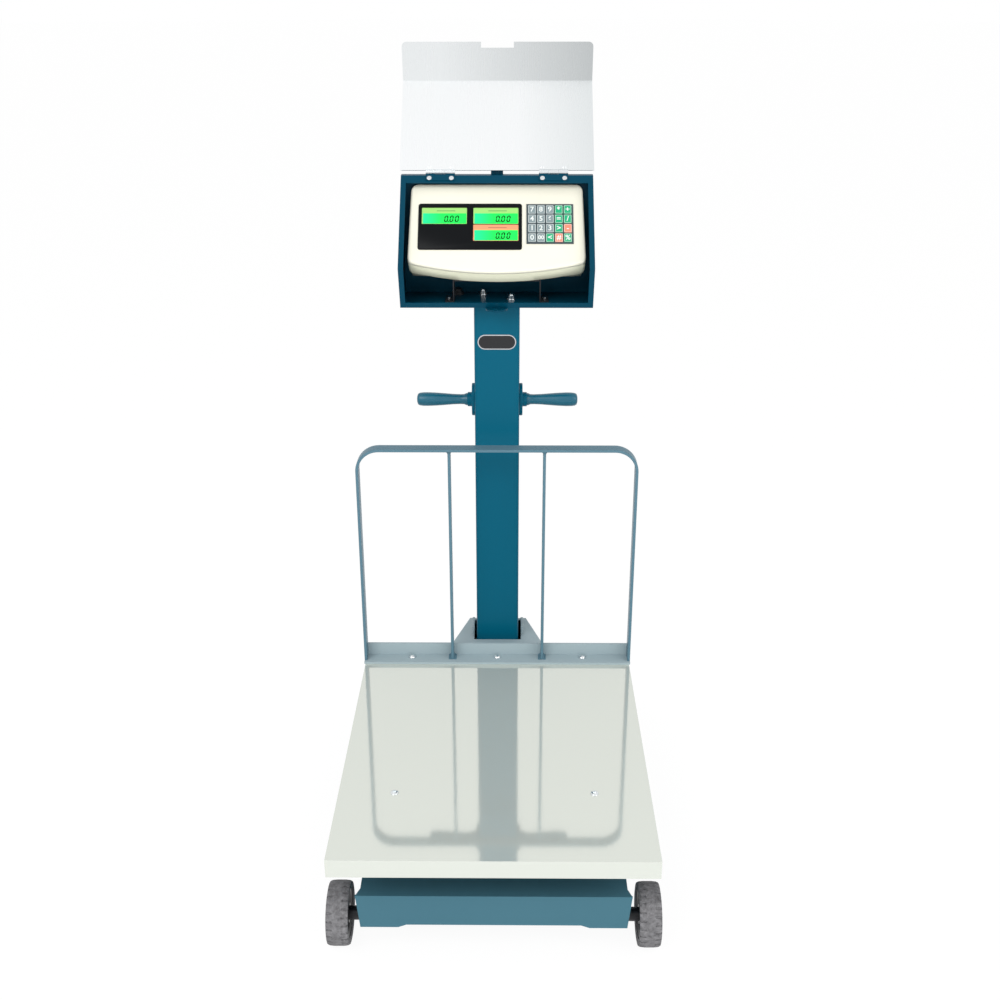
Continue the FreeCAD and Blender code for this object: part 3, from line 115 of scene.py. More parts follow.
def new_group(name, inputs, outputs):
    """An empty shader group with its sockets; returns the tree and its two end nodes."""
    tree = bpy.data.node_groups.new(name, "ShaderNodeTree")
    for label, kind, value in inputs:
        socket = tree.interface.new_socket(label, in_out="INPUT", socket_type=kind)
        socket.default_value = value
    for label, kind in outputs:
        tree.interface.new_socket(label, in_out="OUTPUT", socket_type=kind)
    return tree, tree.nodes.new("NodeGroupInput"), tree.nodes.new("NodeGroupOutput")


def math_node(tree, operation, first, second):
    """The output of a Math node fed by numbers or sockets."""
    node = tree.nodes.new("ShaderNodeMath")
    node.operation = operation
    for socket, value in zip(node.inputs, (first, second)):
        if isinstance(value, (int, float)):
            socket.default_value = value
        else:
            tree.links.new(value, socket)
    return node.outputs[0]


def noise(tree, vector, scale, detail=3.0, roughness=0.5):
    """The output of a Noise node at a place; its scale is a number or a socket."""
    node = tree.nodes.new("ShaderNodeTexNoise")
    node.inputs["Detail"].default_value = detail
    node.inputs["Roughness"].default_value = roughness
    tree.links.new(vector, node.inputs["Vector"])
    if isinstance(scale, (int, float)):
        node.inputs["Scale"].default_value = scale
    else:
        tree.links.new(scale, node.inputs["Scale"])
    return node.outputs["Fac"]


def blend_colours(tree, share, first, second):
    """A colour that runs from the first to the second as the share goes from 0 to 1."""
    node = tree.nodes.new("ShaderNodeMix")
    node.data_type = "RGBA"
    tree.links.new(share, node.inputs["Factor"])
    for socket, value in ((node.inputs[6], first), (node.inputs[7], second)):
        if isinstance(value, (tuple, list)):
            socket.default_value = value
        else:
            tree.links.new(value, socket)
    return node.outputs[2]


def make_wear_group():
    """Cloudy handling wear: a colour between fresh and worn, a roughness and a fine height."""
    tree, given, out = new_group(
        "handling_wear",
        [("Fresh", "NodeSocketColor", (0.5, 0.5, 0.5, 1)),
         ("Worn", "NodeSocketColor", (0.6, 0.6, 0.6, 1)),
         ("Cloud Scale", "NodeSocketFloat", 12.0), ("Amount", "NodeSocketFloat", 0.5),
         ("Roughness", "NodeSocketFloat", 0.4), ("Grain Scale", "NodeSocketFloat", 900.0)],
        [("Color", "NodeSocketColor"), ("Roughness", "NodeSocketFloat"),
         ("Height", "NodeSocketFloat")])
    place = tree.nodes.new("ShaderNodeTexCoord").outputs["Object"]
    cloud = noise(tree, place, given.outputs["Cloud Scale"], 5.0, 0.6)
    grain = noise(tree, place, given.outputs["Grain Scale"], 2.0)
    share = math_node(tree, "MULTIPLY", cloud, given.outputs["Amount"])
    tree.links.new(blend_colours(tree, share, given.outputs["Fresh"], given.outputs["Worn"]),
                   out.inputs["Color"])
    swing = math_node(tree, "MULTIPLY", math_node(tree, "SUBTRACT", cloud, 0.5), 0.25)
    tree.links.new(math_node(tree, "ADD", given.outputs["Roughness"], swing),
                   out.inputs["Roughness"])
    tree.links.new(grain, out.inputs["Height"])
    return tree


def make_drawn_group():
    """Fine lines along Y, as rolled and polished sheet has, over a slow waviness."""
    tree, given, out = new_group(
        "drawn_sheet",
        [("Line Scale", "NodeSocketFloat", 700.0), ("Roughness", "NodeSocketFloat", 0.15),
         ("Swing", "NodeSocketFloat", 0.1)],
        [("Roughness", "NodeSocketFloat"), ("Height", "NodeSocketFloat")])
    place = tree.nodes.new("ShaderNodeTexCoord").outputs["Object"]
    stretch = tree.nodes.new("ShaderNodeMapping")
    stretch.inputs["Scale"].default_value = (1.0, 0.012, 0.012)
    tree.links.new(place, stretch.inputs["Vector"])
    lines = noise(tree, stretch.outputs[0], given.outputs["Line Scale"], 4.0, 0.7)
    swell = tree.nodes.new("ShaderNodeMapping")
    swell.inputs["Scale"].default_value = (1.0, 0.25, 0.25)
    tree.links.new(place, swell.inputs["Vector"])
    waves = noise(tree, swell.outputs[0], 9.0, 0.0)
    swing = math_node(tree, "MULTIPLY", math_node(tree, "SUBTRACT", lines, 0.5),
                      given.outputs["Swing"])
    tree.links.new(math_node(tree, "ADD", given.outputs["Roughness"], swing),
                   out.inputs["Roughness"])
    tree.links.new(math_node(tree, "ADD", math_node(tree, "MULTIPLY", lines, 0.03), waves),
                   out.inputs["Height"])
    return tree


WEAR = make_wear_group()
DRAWN = make_drawn_group()


def new_material(name, colour, roughness, **sockets):
    """A Principled material with plain socket values."""
    made = bpy.data.materials.new(name)
    made.use_nodes = True
    shader = made.node_tree.nodes["Principled BSDF"]
    shader.inputs["Base Color"].default_value = colour
    shader.inputs["Roughness"].default_value = roughness
    for label, value in sockets.items():
        shader.inputs[label.replace("_", " ")].default_value = value
    return made, made.node_tree, shader


def add_bump(tree, shader, height, strength, distance):
    """Raise a surface's look by a height, without changing its shape."""
    bump = tree.nodes.new("ShaderNodeBump")
    bump.inputs["Strength"].default_value = strength
    bump.inputs["Distance"].default_value = distance
    tree.links.new(height, bump.inputs["Height"])
    tree.links.new(bump.outputs[0], shader.inputs["Normal"])


def worn_material(name, fresh, worn, roughness, cloud=12.0, amount=0.5, grain=900.0,
                  bump=0.1, depth=0.0002, **sockets):
    """Paint, plastic or rubber with clouds of wear and a fine grain."""
    made, tree, shader = new_material(name, fresh, roughness, **sockets)
    wear = tree.nodes.new("ShaderNodeGroup")
    wear.node_tree = WEAR
    values = {"Fresh": fresh, "Worn": worn, "Cloud Scale": cloud, "Amount": amount,
              "Roughness": roughness, "Grain Scale": grain}
    for label, value in values.items():
        wear.inputs[label].default_value = value
    tree.links.new(wear.outputs["Color"], shader.inputs["Base Color"])
    tree.links.new(wear.outputs["Roughness"], shader.inputs["Roughness"])
    add_bump(tree, shader, wear.outputs["Height"], bump, depth)
    return made


def sheet_material(name, colour, roughness, lines=700.0, swing=0.08, bump=0.3, depth=0.0006,
                   metallic=1.0):
    """Polished stainless sheet, slightly wavy, with fine lengthwise lines."""
    made, tree, shader = new_material(name, colour, roughness, Metallic=metallic)
    drawn = tree.nodes.new("ShaderNodeGroup")
    drawn.node_tree = DRAWN
    drawn.inputs["Line Scale"].default_value = lines
    drawn.inputs["Roughness"].default_value = roughness
    drawn.inputs["Swing"].default_value = swing
    tree.links.new(drawn.outputs["Roughness"], shader.inputs["Roughness"])
    add_bump(tree, shader, drawn.outputs["Height"], bump, depth)
    return made


def teal(name, fresh, worn):
    """Satin powder coat of one shade."""
    return worn_material(name, tone(*fresh), tone(*worn), 0.34, cloud=5.0, amount=0.6,
                         grain=450.0, bump=0.05, depth=0.0002, Specular_IOR_Level=0.1)


TEAL = teal("teal_paint", (0, 90, 116), (2, 98, 122))
# the base's teal is a lighter copy of the same paint: painted light on its front and on its top in
# the pan's shadow
BASE_TEAL_LIT = teal("teal_paint_lit_base", (70, 114, 130), (78, 122, 136))
# the box's teal is a darker copy of the same paint: painted shade of the box's deep inside
BOX_TEAL_SHADED = teal("teal_paint_shaded_box", (0, 62, 84), (0, 70, 92))
# the guard's teal is a paler copy of the same paint: painted sheen that its upward faces catch from
# the white room
GUARD_TEAL_SHEEN = teal("teal_paint_sheen_guard", (88, 122, 138), (104, 136, 150))
# a much paler copy of the same teal for the guard's angle and the column socket: painted reflection
# of the white room on their level faces
PALE_TEAL_SHEEN = teal("teal_paint_painted_sheen", (160, 178, 184), (176, 190, 194))
TEAL_GRIP = worn_material("teal_grip_plastic", tone(0, 84, 108), tone(24, 110, 130), 0.3,
                          cloud=40.0, amount=0.5, grain=1200.0, bump=0.05)
BLACK_STEEL = worn_material("black_enamel", tone(22, 24, 30), tone(44, 46, 50), 0.45)
ZINC = worn_material("zinc_plate", tone(226, 230, 232), tone(190, 196, 198), 0.25,
                     cloud=40.0, amount=0.35, grain=1500.0, bump=0.03, Metallic=1.0)
ALLOY = worn_material("milled_alloy", tone(196, 198, 200), tone(150, 154, 158), 0.35,
                      cloud=40.0, Metallic=1.0)
PAN_STEEL = sheet_material("polished_pan", tone(221, 225, 217), 0.06, lines=450.0,
                           metallic=0.45)
# the lid's base colour is replaced below by painted shade, darker on its flap and to the right
LID_STEEL = sheet_material("polished_lid", tone(238, 241, 242), 0.28, lines=500.0)


def paint_lid_shade():
    """Painted shade on the lid: its flap is painted darker than its main sheet, and both are painted
    darker to the right.
    """
    tree = LID_STEEL.node_tree
    shader = tree.nodes["Principled BSDF"]
    place = tree.nodes.new("ShaderNodeSeparateXYZ")
    tree.links.new(tree.nodes.new("ShaderNodeTexCoord").outputs["Object"], place.inputs[0])
    ramps = []
    # left and right tones of the main sheet, then of the flap: painted shade, darker to the right
    # and on the flap
    for left, right, start in (((244, 246, 247), (226, 230, 231), 0.6),
                               ((230, 233, 234), (190, 194, 195), 0.2)):
        across = tree.nodes.new("ShaderNodeMapRange")
        across.inputs["From Min"].default_value = -0.17
        across.inputs["From Max"].default_value = 0.17
        tree.links.new(place.outputs["X"], across.inputs["Value"])
        ramp = tree.nodes.new("ShaderNodeValToRGB")
        ramp.color_ramp.elements[0].color = tone(*left)
        ramp.color_ramp.elements[0].position = start
        ramp.color_ramp.elements[1].color = tone(*right)
        tree.links.new(across.outputs[0], ramp.inputs[0])
        ramps.append(ramp.outputs[0])
    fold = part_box("lid")[1].z - LID_FLAP * math.sin(LID_FLAP_TILT)
    height = tree.nodes.new("ShaderNodeMapRange")
    height.inputs["From Min"].default_value = fold - 1.0 * MM
    height.inputs["From Max"].default_value = fold + 1.0 * MM
    tree.links.new(place.outputs["Z"], height.inputs["Value"])
    tree.links.new(blend_colours(tree, height.outputs[0], *ramps),
                   shader.inputs["Base Color"])


CREAM = worn_material("cream_plastic", tone(247, 245, 229), tone(238, 235, 214), 0.42,
                      cloud=9.0, amount=0.5, grain=1600.0, bump=0.12, depth=0.0001)
# the lower shell's darker beige is partly its own tone and partly painted shade of the lip, which
# faces down
STONE_AND_SHADE = worn_material("stone_plastic", tone(222, 223, 200), tone(206, 208, 184), 0.45,
                      cloud=9.0, amount=0.5, grain=1600.0, bump=0.12, depth=0.0001)
PANEL = worn_material("smoked_panel", tone(4, 6, 9), tone(10, 14, 18), 0.3, cloud=8.0,
                      bump=0.02, Specular_IOR_Level=0.12)
KEY_FRAME = worn_material("keypad_film", tone(60, 72, 78), tone(76, 88, 92), 0.4)
KEY_TONES = {
    "key_grey": worn_material("key_grey_film", tone(128, 144, 148), tone(140, 156, 160), 0.38),
    "key_green": worn_material("key_green_film", tone(0, 172, 116), tone(10, 186, 130), 0.38),
    "key_salmon": worn_material("key_salmon_film", tone(240, 140, 112), tone(246, 158, 132),
                                0.38),
}
PRINT = worn_material("pale_print", tone(236, 242, 238), tone(216, 224, 220), 0.4)
INK = worn_material("dark_segments", tone(0, 26, 8), tone(2, 34, 12), 0.5,
                    Specular_IOR_Level=0.1)
RUBBER = worn_material("scuffed_rubber", tone(24, 24, 26), tone(172, 171, 174), 0.8,
                       cloud=150.0, amount=0.9, grain=420.0, bump=0.8, depth=0.001,
                       Specular_IOR_Level=0.25)
HUB = worn_material("hub_plastic", tone(20, 22, 26), tone(40, 42, 46), 0.4)
BOARD = worn_material("board_mask", tone(16, 90, 56), tone(30, 110, 70), 0.35)
BADGE = worn_material("badge_enamel", tone(14, 14, 18), tone(30, 30, 36), 0.2)
SILVER = worn_material("badge_rim", tone(214, 214, 218), tone(180, 182, 186), 0.25,
                       cloud=50.0, Metallic=1.0)


def make_lit_glass():
    """A lit display: bright green, running to cyan at its left."""
    made, tree, shader = new_material("lit_display", tone(0, 232, 92), 0.25)
    place = tree.nodes.new("ShaderNodeTexCoord").outputs["UV"]
    split = tree.nodes.new("ShaderNodeSeparateXYZ")
    tree.links.new(place, split.inputs[0])
    ramp = tree.nodes.new("ShaderNodeValToRGB")
    ramp.color_ramp.elements[0].color = tone(0, 214, 150)
    ramp.color_ramp.elements[1].color = tone(0, 236, 84)
    ramp.color_ramp.elements[1].position = 0.45
    tree.links.new(split.outputs["X"], ramp.inputs[0])
    tree.links.new(ramp.outputs[0], shader.inputs["Base Color"])
    tree.links.new(ramp.outputs[0], shader.inputs["Emission Color"])
    shader.inputs["Emission Strength"].default_value = 0.25
    return made


LIT = make_lit_glass()
LABEL_GREEN = worn_material("label_green", tone(168, 226, 124), tone(150, 214, 110), 0.35)
LABEL_SALMON = worn_material("label_salmon", tone(246, 164, 120), tone(238, 150, 104), 0.35)
BAR = worn_material("label_print", tone(112, 168, 96), tone(96, 150, 84), 0.4)
BAR_SALMON = worn_material("label_print_salmon", tone(196, 120, 90), tone(180, 108, 80), 0.4)


# --- building helpers ------------------------------------------------------------------------

def keep(name, bm, body, materials, replaced=(), smooth=35.0):
    """Make a mesh a piece that rides on a body and takes the given materials."""
    mesh = bpy.data.meshes.new(name)
    bm.to_mesh(mesh)
    bm.free()
    mesh.shade_smooth()
    mesh.set_sharp_from_angle(angle=math.radians(smooth))
    piece = bpy.data.objects.new(name, mesh)
    scene.collection.objects.link(piece)
    level = piece.modifiers.new("flat_faces", "WEIGHTED_NORMAL")
    level.keep_sharp = True
    level.weight = 100
    for made in materials:
        mesh.materials.append(made)
    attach(piece, body)
    if replaced:
        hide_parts(*replaced)
    return piece


def round_edges(bm, edges, width, segments=2):
    """Break edges to a small round."""
    bmesh.ops.bevel(bm, geom=edges, offset=width, offset_type="OFFSET", segments=segments,
                    profile=0.5, affect="EDGES", clamp_overlap=True, material=-1)


def sharp_edges(bm, angle=30.0):
    """The edges that turn by more than an angle in degrees."""
    return [edge for edge in bm.edges
            if edge.is_manifold and edge.calc_face_angle(0) > math.radians(angle)]


def node_copy(node):
    """A merged copy of a CAD node's mesh, its flat faces whole again."""
    bm = bmesh.new()
    bm.from_mesh(frame["nodes"][node].data)
    bmesh.ops.remove_doubles(bm, verts=bm.verts, dist=1e-6)
    bmesh.ops.dissolve_limit(bm, angle_limit=math.radians(0.5), verts=bm.verts, edges=bm.edges)
    return bm


def softened(node, width, material, body="stand", segments=2):
    """The CAD piece with its edges broken, as rolled, folded or cast pieces have them."""
    bm = node_copy(node)
    round_edges(bm, sharp_edges(bm), width, segments)
    return keep(node + "_finished", bm, body, [material], [node])


def paint_node(node, material):
    """Give a CAD node a material of its own."""
    mesh = frame["nodes"][node].data
    mesh.materials.clear()
    mesh.materials.append(material)


def turned(bm, profile, place, steps=48, material=0):
    """Spin an open profile of (radius, height) points about place's own Z axis."""
    points = [bm.verts.new(place @ Vector((radius, 0, height))) for radius, height in profile]
    line = [bm.edges.new(pair) for pair in zip(points, points[1:])]
    before = set(bm.faces)
    bmesh.ops.spin(bm, geom=points + line, cent=place.translation,
                   axis=place.to_3x3().col[2], angle=math.tau, steps=steps, use_merge=True)
    bmesh.ops.remove_doubles(bm, verts=bm.verts, dist=1e-6)
    made = [face for face in bm.faces if face not in before]
    for face in made:
        face.material_index = material
    bmesh.ops.recalc_face_normals(bm, faces=made)
    return made


def arc(centre, radius, start, end, steps):
    """Points on an arc in a plane, in degrees."""
    points = []
    for step in range(steps + 1):
        angle = math.radians(start + (end - start) * step / steps)
        points.append((centre[0] + radius * math.cos(angle),
                       centre[1] + radius * math.sin(angle)))
    return points


def rounded_outline(low, high, radius, steps=5):
    """A rectangle with round corners, anticlockwise."""
    corners = [((high[0] - radius, low[1] + radius), -90), ((high[0] - radius, high[1] - radius), 0),
               ((low[0] + radius, high[1] - radius), 90), ((low[0] + radius, low[1] + radius), 180)]
    points = []
    for centre, start in corners:
        points += arc(centre, radius, start, start + 90, steps)
    return points


def plate(bm, outline, place, low, high, material=0):
    """A flat plate of an outline, from one height of its own frame to another."""
    face = bm.faces.new([bm.verts.new(place @ Vector((x, y, low))) for x, y in outline])
    before = set(bm.faces) - {face}
    risen = bmesh.ops.extrude_face_region(bm, geom=[face])["geom"]
    top = [item for item in risen if isinstance(item, bmesh.types.BMVert)]
    bmesh.ops.translate(bm, verts=top, vec=place.to_3x3() @ Vector((0, 0, high - low)))
    made = [item for item in bm.faces if item not in before]
    bmesh.ops.recalc_face_normals(bm, faces=made)
    for item in made:
        item.material_index = material
    up = (place.to_3x3() @ Vector((0, 0, 1))).normalized()
    return [item for item in made if item.normal.dot(up) > 0.99][0]


def spread(node, place):
    """A CAD node's lowest and highest corner in another frame."""
    back = place.inverted()
    points = [back @ vertex.co for vertex in frame["nodes"][node].data.vertices]
    low = Vector([min(point[axis] for point in points) for axis in range(3)])
    high = Vector([max(point[axis] for point in points) for axis in range(3)])
    return low, high


def mouth_frame():
    """The frame of the box's slanted mouth: origin at its nose, Y up the slope, Z outwards."""
    points = [vertex.co for vertex in frame["nodes"]["box_shell"].data.vertices]
    nose = min(points, key=lambda point: point.y)
    top = max(point.z for point in points)
    rim = min((point for point in points if point.z > top - 0.1 * MM), key=lambda p: p.y)
    slope = math.atan2(rim.z - nose.z, rim.y - nose.y)
    return Matrix.Translation((0, nose.y, nose.z)) @ Matrix.Rotation(slope, 4, "X")


MOUTH = mouth_frame()


# --- platform, guard, base and column --------------------------------------------------------

def make_steelwork():
    """The pan, guard, base, column and box, and the plain pieces inside and under them."""
    softened("pan", 1.2 * MM, PAN_STEEL, segments=3)
    # the angle, guard, base and socket take paler copies of the teal, which are painted sheen and
    # painted light
    softened("guard_angle", 0.8 * MM, PALE_TEAL_SHEEN)
    softened("guard_frame", 0.9 * MM, GUARD_TEAL_SHEEN)
    softened("base_shell", 1.0 * MM, BASE_TEAL_LIT)
    softened("column_socket", 0.8 * MM, PALE_TEAL_SHEEN)
    softened("top_frame", 0.6 * MM, TEAL)
    paint_node("column", TEAL)
    # the box and its lugs take the darker copy of the teal, which is painted shade
    for node in ("box_shell", "box_lugs"):
        paint_node(node, BOX_TEAL_SHADED)
    for node in ("base_frame", "indicator_bracket", "cable_gland", "battery", "axle_bolts"):
        paint_node(node, BLACK_STEEL)
    for node in ("load_cell_bolts", "frame_bolts"):
        paint_node(node, ZINC)
    paint_node("load_cell", ALLOY)
    paint_node("circuit_board", BOARD)
    paint_node("lid", LID_STEEL)


def make_hinges():
    """Leaves painted or polished like what they are fixed to, with bright barrels."""
    points = [v.co for v in frame["nodes"]["box_hinge_leaves"].data.vertices]
    axis_y = max(point.y for point in points) - KNUCKLE_RADIUS
    axis_z = max(point.z for point in points) - KNUCKLE_RADIUS
    for node, far in (("box_hinge_leaves", BOX_TEAL_SHADED), ("lid_hinge_leaves", LID_STEEL)):
        mesh = frame["nodes"][node].data
        mesh.materials.clear()
        mesh.materials.append(ZINC)
        mesh.materials.append(far)
        for polygon in mesh.polygons:
            away = math.hypot(polygon.center.y - axis_y, polygon.center.z - axis_z)
            polygon.material_index = 1 if away > KNUCKLE_RADIUS + 0.8 * MM else 0
    bm = bmesh.new()
    slope = MOUTH.to_3x3()
    for (x, y, level), radius in hinge_screw_heads():
        place = Matrix.Translation(Vector((x, y, level))) @ slope.to_4x4()
        dome = [(0, SCREW_DOME)] + [(radius * math.sin(math.radians(a)),
                                     SCREW_DOME * math.cos(math.radians(a)))
                                    for a in (25, 45, 65, 85)]
        turned(bm, dome + [(radius, -0.2 * MM), (0, -0.2 * MM)], place, steps=20)
    keep("hinge_screw_domes", bm, "stand", [ZINC])
    paint_node("hinge_screws", ZINC)


def hinge_screw_heads():
    """The middle of each hinge screw's head on its seat, and the head's radius."""
    bm = node_copy("hinge_screws")
    back = MOUTH.inverted()
    spots = []
    for group in islands(bm):
        points = [back @ vertex.co for vertex in group]
        top = max(point.z for point in points)
        x = (min(p.x for p in points) + max(p.x for p in points)) / 2
        y = (min(p.y for p in points) + max(p.y for p in points)) / 2
        radius = (max(p.x for p in points) - min(p.x for p in points)) / 2
        spots.append((tuple(MOUTH @ Vector((x, y, top))), radius * 1.15))
    bm.free()
    return spots


def islands(bm):
    """The groups of joined vertices of a mesh."""
    left = set(bm.verts)
    groups = []
    while left:
        group = {left.pop()}
        rim = set(group)
        while rim:
            near = {edge.other_vert(v) for v in rim for edge in v.link_edges}
            rim = near - group
            group |= near
        left -= group
        groups.append(group)
    return groups


def screw_spots(node):
    """The middle, foot, top and head radius of each separate screw of a node."""
    bm = node_copy(node)
    spots = []
    for group in islands(bm):
        points = [vertex.co for vertex in group]
        low = [min(point[axis] for point in points) for axis in range(3)]
        high = [max(point[axis] for point in points) for axis in range(3)]
        middle = ((low[0] + high[0]) / 2, (low[1] + high[1]) / 2)
        spots.append((middle, low[2], high[2], (high[0] - low[0]) / 2))
    bm.free()
    return sorted(spots, key=lambda spot: spot[0])


def make_pan_screws():
    """Domed stainless screws with a hexagonal socket."""
    bm = bmesh.new()
    for middle, foot, top, radius in screw_spots("pan_screws"):
        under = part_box("pan")[1].z
        place = Matrix.Translation((*middle, under))
        rise = top - under
        socket = radius * 0.42
        profile = [(0, rise * 0.2), (socket, rise * 0.2), (socket * 1.02, rise)]
        profile += [(radius * share, rise * math.sqrt(max(0, 1 - (share * 0.95) ** 2.6)))
                    for share in (0.6, 0.75, 0.88, 0.96)]
        profile += [(radius, 0.2 * rise), (radius, 0), (radius * 0.5, 0),
                    (radius * 0.46, foot - under), (0, foot - under)]
        turned(bm, profile, place, steps=24)
    keep("pan_screws_domed", bm, "stand", [ZINC], ["pan_screws"])


def make_guard_bolts():
    """Round-headed bolts on flat washers."""
    bm = bmesh.new()
    rise = BOLT_DOME
    for middle, foot, top, radius in screw_spots("guard_bolts"):
        place = Matrix.Translation((*middle, top - rise))
        dome = [(0, rise)] + [
            (radius * 0.86 * math.sin(math.radians(angle)), rise * (0.3 + 0.7 * math.cos(
                math.radians(angle)))) for angle in (20, 40, 60, 80, 90)]
        profile = dome + [(radius * 0.86, rise * 0.28), (radius, rise * 0.26), (radius, 0),
                          (radius * 0.5, 0), (radius * 0.5, foot - place.translation.z),
                          (0, foot - place.translation.z)]
        turned(bm, profile, place, steps=32)
    keep("guard_bolts_domed", bm, "stand", [ZINC], ["guard_bolts"])


def make_weld_beads():
    """Small fillets of weld where the uprights meet the hoop and the angle."""
    low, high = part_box("guard_frame")
    points = [vertex.co for vertex in frame["nodes"]["guard_frame"].data.vertices]
    inner = [point.x for point in points if 0 < point.x < high.x / 2]
    middle_x = (min(inner) + max(inner)) / 2
    half = (max(inner) - min(inner)) / 2
    under = high.z - RAIL_THICK
    flare = WELD_FLARE
    bm = bmesh.new()
    front = high.y - RAIL_WIDTH
    for side in (-1, 1):
        for level, way in ((low.z, 1), (under, -1)):
            centre = side * middle_x
            for lean in (-1, 1):
                wall = centre + lean * half
                outline = [(wall, level), (wall + lean * flare, level)]
                for share in (0.3, 0.6):
                    outline.append((wall + lean * flare * (1 - share) ** 2.2,
                                    level + way * flare * share))
                outline.append((wall, level + way * flare))
                face = bm.faces.new([bm.verts.new((x, front, z)) for x, z in outline])
                risen = bmesh.ops.extrude_face_region(bm, geom=[face])["geom"]
                verts = [item for item in risen if isinstance(item, bmesh.types.BMVert)]
                bmesh.ops.translate(bm, verts=verts, vec=(0, RAIL_WIDTH, 0))
    bmesh.ops.recalc_face_normals(bm, faces=bm.faces)
    keep("weld_fillets", bm, "stand", [GUARD_TEAL_SHEEN], smooth=50)


def make_badge():
    """A blank enamel plate with a bright rim."""
    low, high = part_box("badge")
    radius = (high.z - low.z) / 2
    face_on = Matrix.Translation((0, high.y, (low.z + high.z) / 2)) @ Matrix.Rotation(
        math.pi / 2, 4, "X")
    outline = rounded_outline((low.x, -radius), (high.x, radius), radius * 0.999, 12)
    bm = bmesh.new()
    thick = high.y - low.y
    top = plate(bm, outline, face_on, 0, thick - 0.3 * MM, material=1)
    round_edges(bm, list(top.edges), 0.5 * MM, 2)
    edge = BADGE_RIM
    inner = rounded_outline((low.x + edge, edge - radius), (high.x - edge, radius - edge),
                            (radius - edge) * 0.999, 12)
    plate(bm, inner, face_on, thick - 0.4 * MM, thick, material=0)
    keep("badge_blank", bm, "stand", [BADGE, SILVER], ["badge"], smooth=40)


def make_grips():
    """Moulded grips: a slim neck, a fuller hold and a domed end; and their flanges."""
    bm = bmesh.new()
    low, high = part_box("handle_grips")
    middle = (low + high) / 2
    radius = (high.z - low.z) / 2
    root = min(abs(v.co.x) for v in frame["nodes"]["handle_grips"].data.vertices)
    length = high.x - root
    for side in (-1, 1):
        place = Matrix.Translation((side * root, middle.y, middle.z)) @ Matrix.Rotation(
            side * math.pi / 2, 4, "Y")
        shape = [(0.4, 0), (0.86, 0.0), (0.9, 0.02), (0.74, 0.07), (0.72, 0.14), (0.76, 0.28),
                 (0.86, 0.45), (0.95, 0.62), (1.0, 0.78), (0.99, 0.88), (0.92, 0.95),
                 (0.76, 0.985), (0.4, 1.0), (0, 1.0)]
        turned(bm, [(share * radius, along * length) for share, along in shape], place, 40)
    keep("hand_grips", bm, "stand", [TEAL_GRIP], ["handle_grips"], smooth=60)
    softened("handle_flanges", 1.4 * MM, TEAL, segments=3)


def make_wheels():
    """Tyres with shallow shoulder lugs on dished hubs."""
    for place_name in ("front", "rear"):
        for side_name, side in (("left", -1), ("right", 1)):
            tag = f"{place_name}_{side_name}"
            low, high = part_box("tyre_" + tag)
            centre = (low + high) / 2
            radius = (high.z - low.z) / 2
            half = (high.x - low.x) / 2
            hub_low, hub_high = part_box("hub_" + tag)
            hub_radius = (hub_high.z - hub_low.z) / 2
            place = Matrix.Translation(centre) @ Matrix.Rotation(side * math.pi / 2, 4, "Y")
            make_tyre(tag, place, radius, half, hub_radius)
            inner = (hub_low.x - centre.x, hub_high.x - centre.x)
            make_hub(tag, place, hub_radius, sorted(side * edge for edge in inner))


def make_tyre(tag, place, radius, half, seat):
    """A tyre with staggered grooves cut into both shoulders of its tread."""
    shoulder = 0.94
    profile = [(seat, -half * 0.9), (radius * 0.9, -half), (radius * 0.955, -half * 0.97),
               (radius * 0.985, -half * 0.8), (radius, -half * 0.4), (radius, half * 0.4),
               (radius * 0.985, half * 0.8), (radius * 0.955, half * 0.97),
               (radius * 0.9, half), (seat, half * 0.9), (seat, -half * 0.9)]
    bm = bmesh.new()
    faces = turned(bm, profile, place, steps=LUGS * 4)
    back = place.inverted()
    grooves = []
    for face in faces:
        spot = back @ face.calc_center_median()
        turn = math.atan2(spot.y, spot.x) / math.tau * LUGS
        outer = math.hypot(spot.x, spot.y) > radius * shoulder
        tread = abs(spot.z) > half * 0.42
        shift = 0.5 if spot.z > 0 else 0.0
        if outer and tread and (turn + shift) % 1.0 < 0.25:
            grooves.append(face)
    bmesh.ops.inset_region(bm, faces=grooves, thickness=0.4 * MM, depth=-LUG_DEPTH)
    keep("tyre_body_" + tag, bm, f"wheel_{tag}", [RUBBER], ["tyre_" + tag],
         smooth=50)


def make_hub(tag, place, radius, span):
    """A hub with a boss around its axle and a dish on its outer side."""
    inner, outer = span
    dish = radius * 0.8
    depth = HUB_DISH
    bore = AXLE_BORE
    boss = HUB_BOSS
    profile = [(bore, inner), (boss, inner), (boss, inner + 4 * MM), (dish, inner + 5 * MM),
               (radius * 0.9, inner + 1 * MM), (radius, inner), (radius, outer),
               (radius * 0.88, outer), (dish, outer - depth), (boss, outer - depth - 1 * MM),
               (bore, outer - depth - 1 * MM), (bore, inner)]
    bm = bmesh.new()
    turned(bm, profile, place, steps=48)
    keep("hub_body_" + tag, bm, f"wheel_{tag}", [HUB], ["hub_" + tag])


# --- indicator -------------------------------------------------------------------------------

def case_outline(half, top, foot, rise, corner):
    """The indicator's face: round top corners and a lower edge that bows forwards."""
    radius = (half ** 2 + rise ** 2) / (2 * rise)
    sweep = math.degrees(math.asin(half / radius))
    points = arc((0, foot + radius), radius, 270 - sweep * 0.91, 270 + sweep * 0.91, 24)
    side = foot + rise
    turn = [(half - 5.0 * MM, side - 0.6 * MM), (half - 2.0 * MM, side + 2.4 * MM),
            (half - 0.5 * MM, side + 6.5 * MM), (half, side + 12.0 * MM)]
    points += turn
    points += arc((half - corner - 3 * MM, top - corner), corner, 0, 90, 7)
    points += arc((corner + 3 * MM - half, top - corner), corner, 90, 180, 7)
    points += [(-x, y) for x, y in reversed(turn)]
    return points


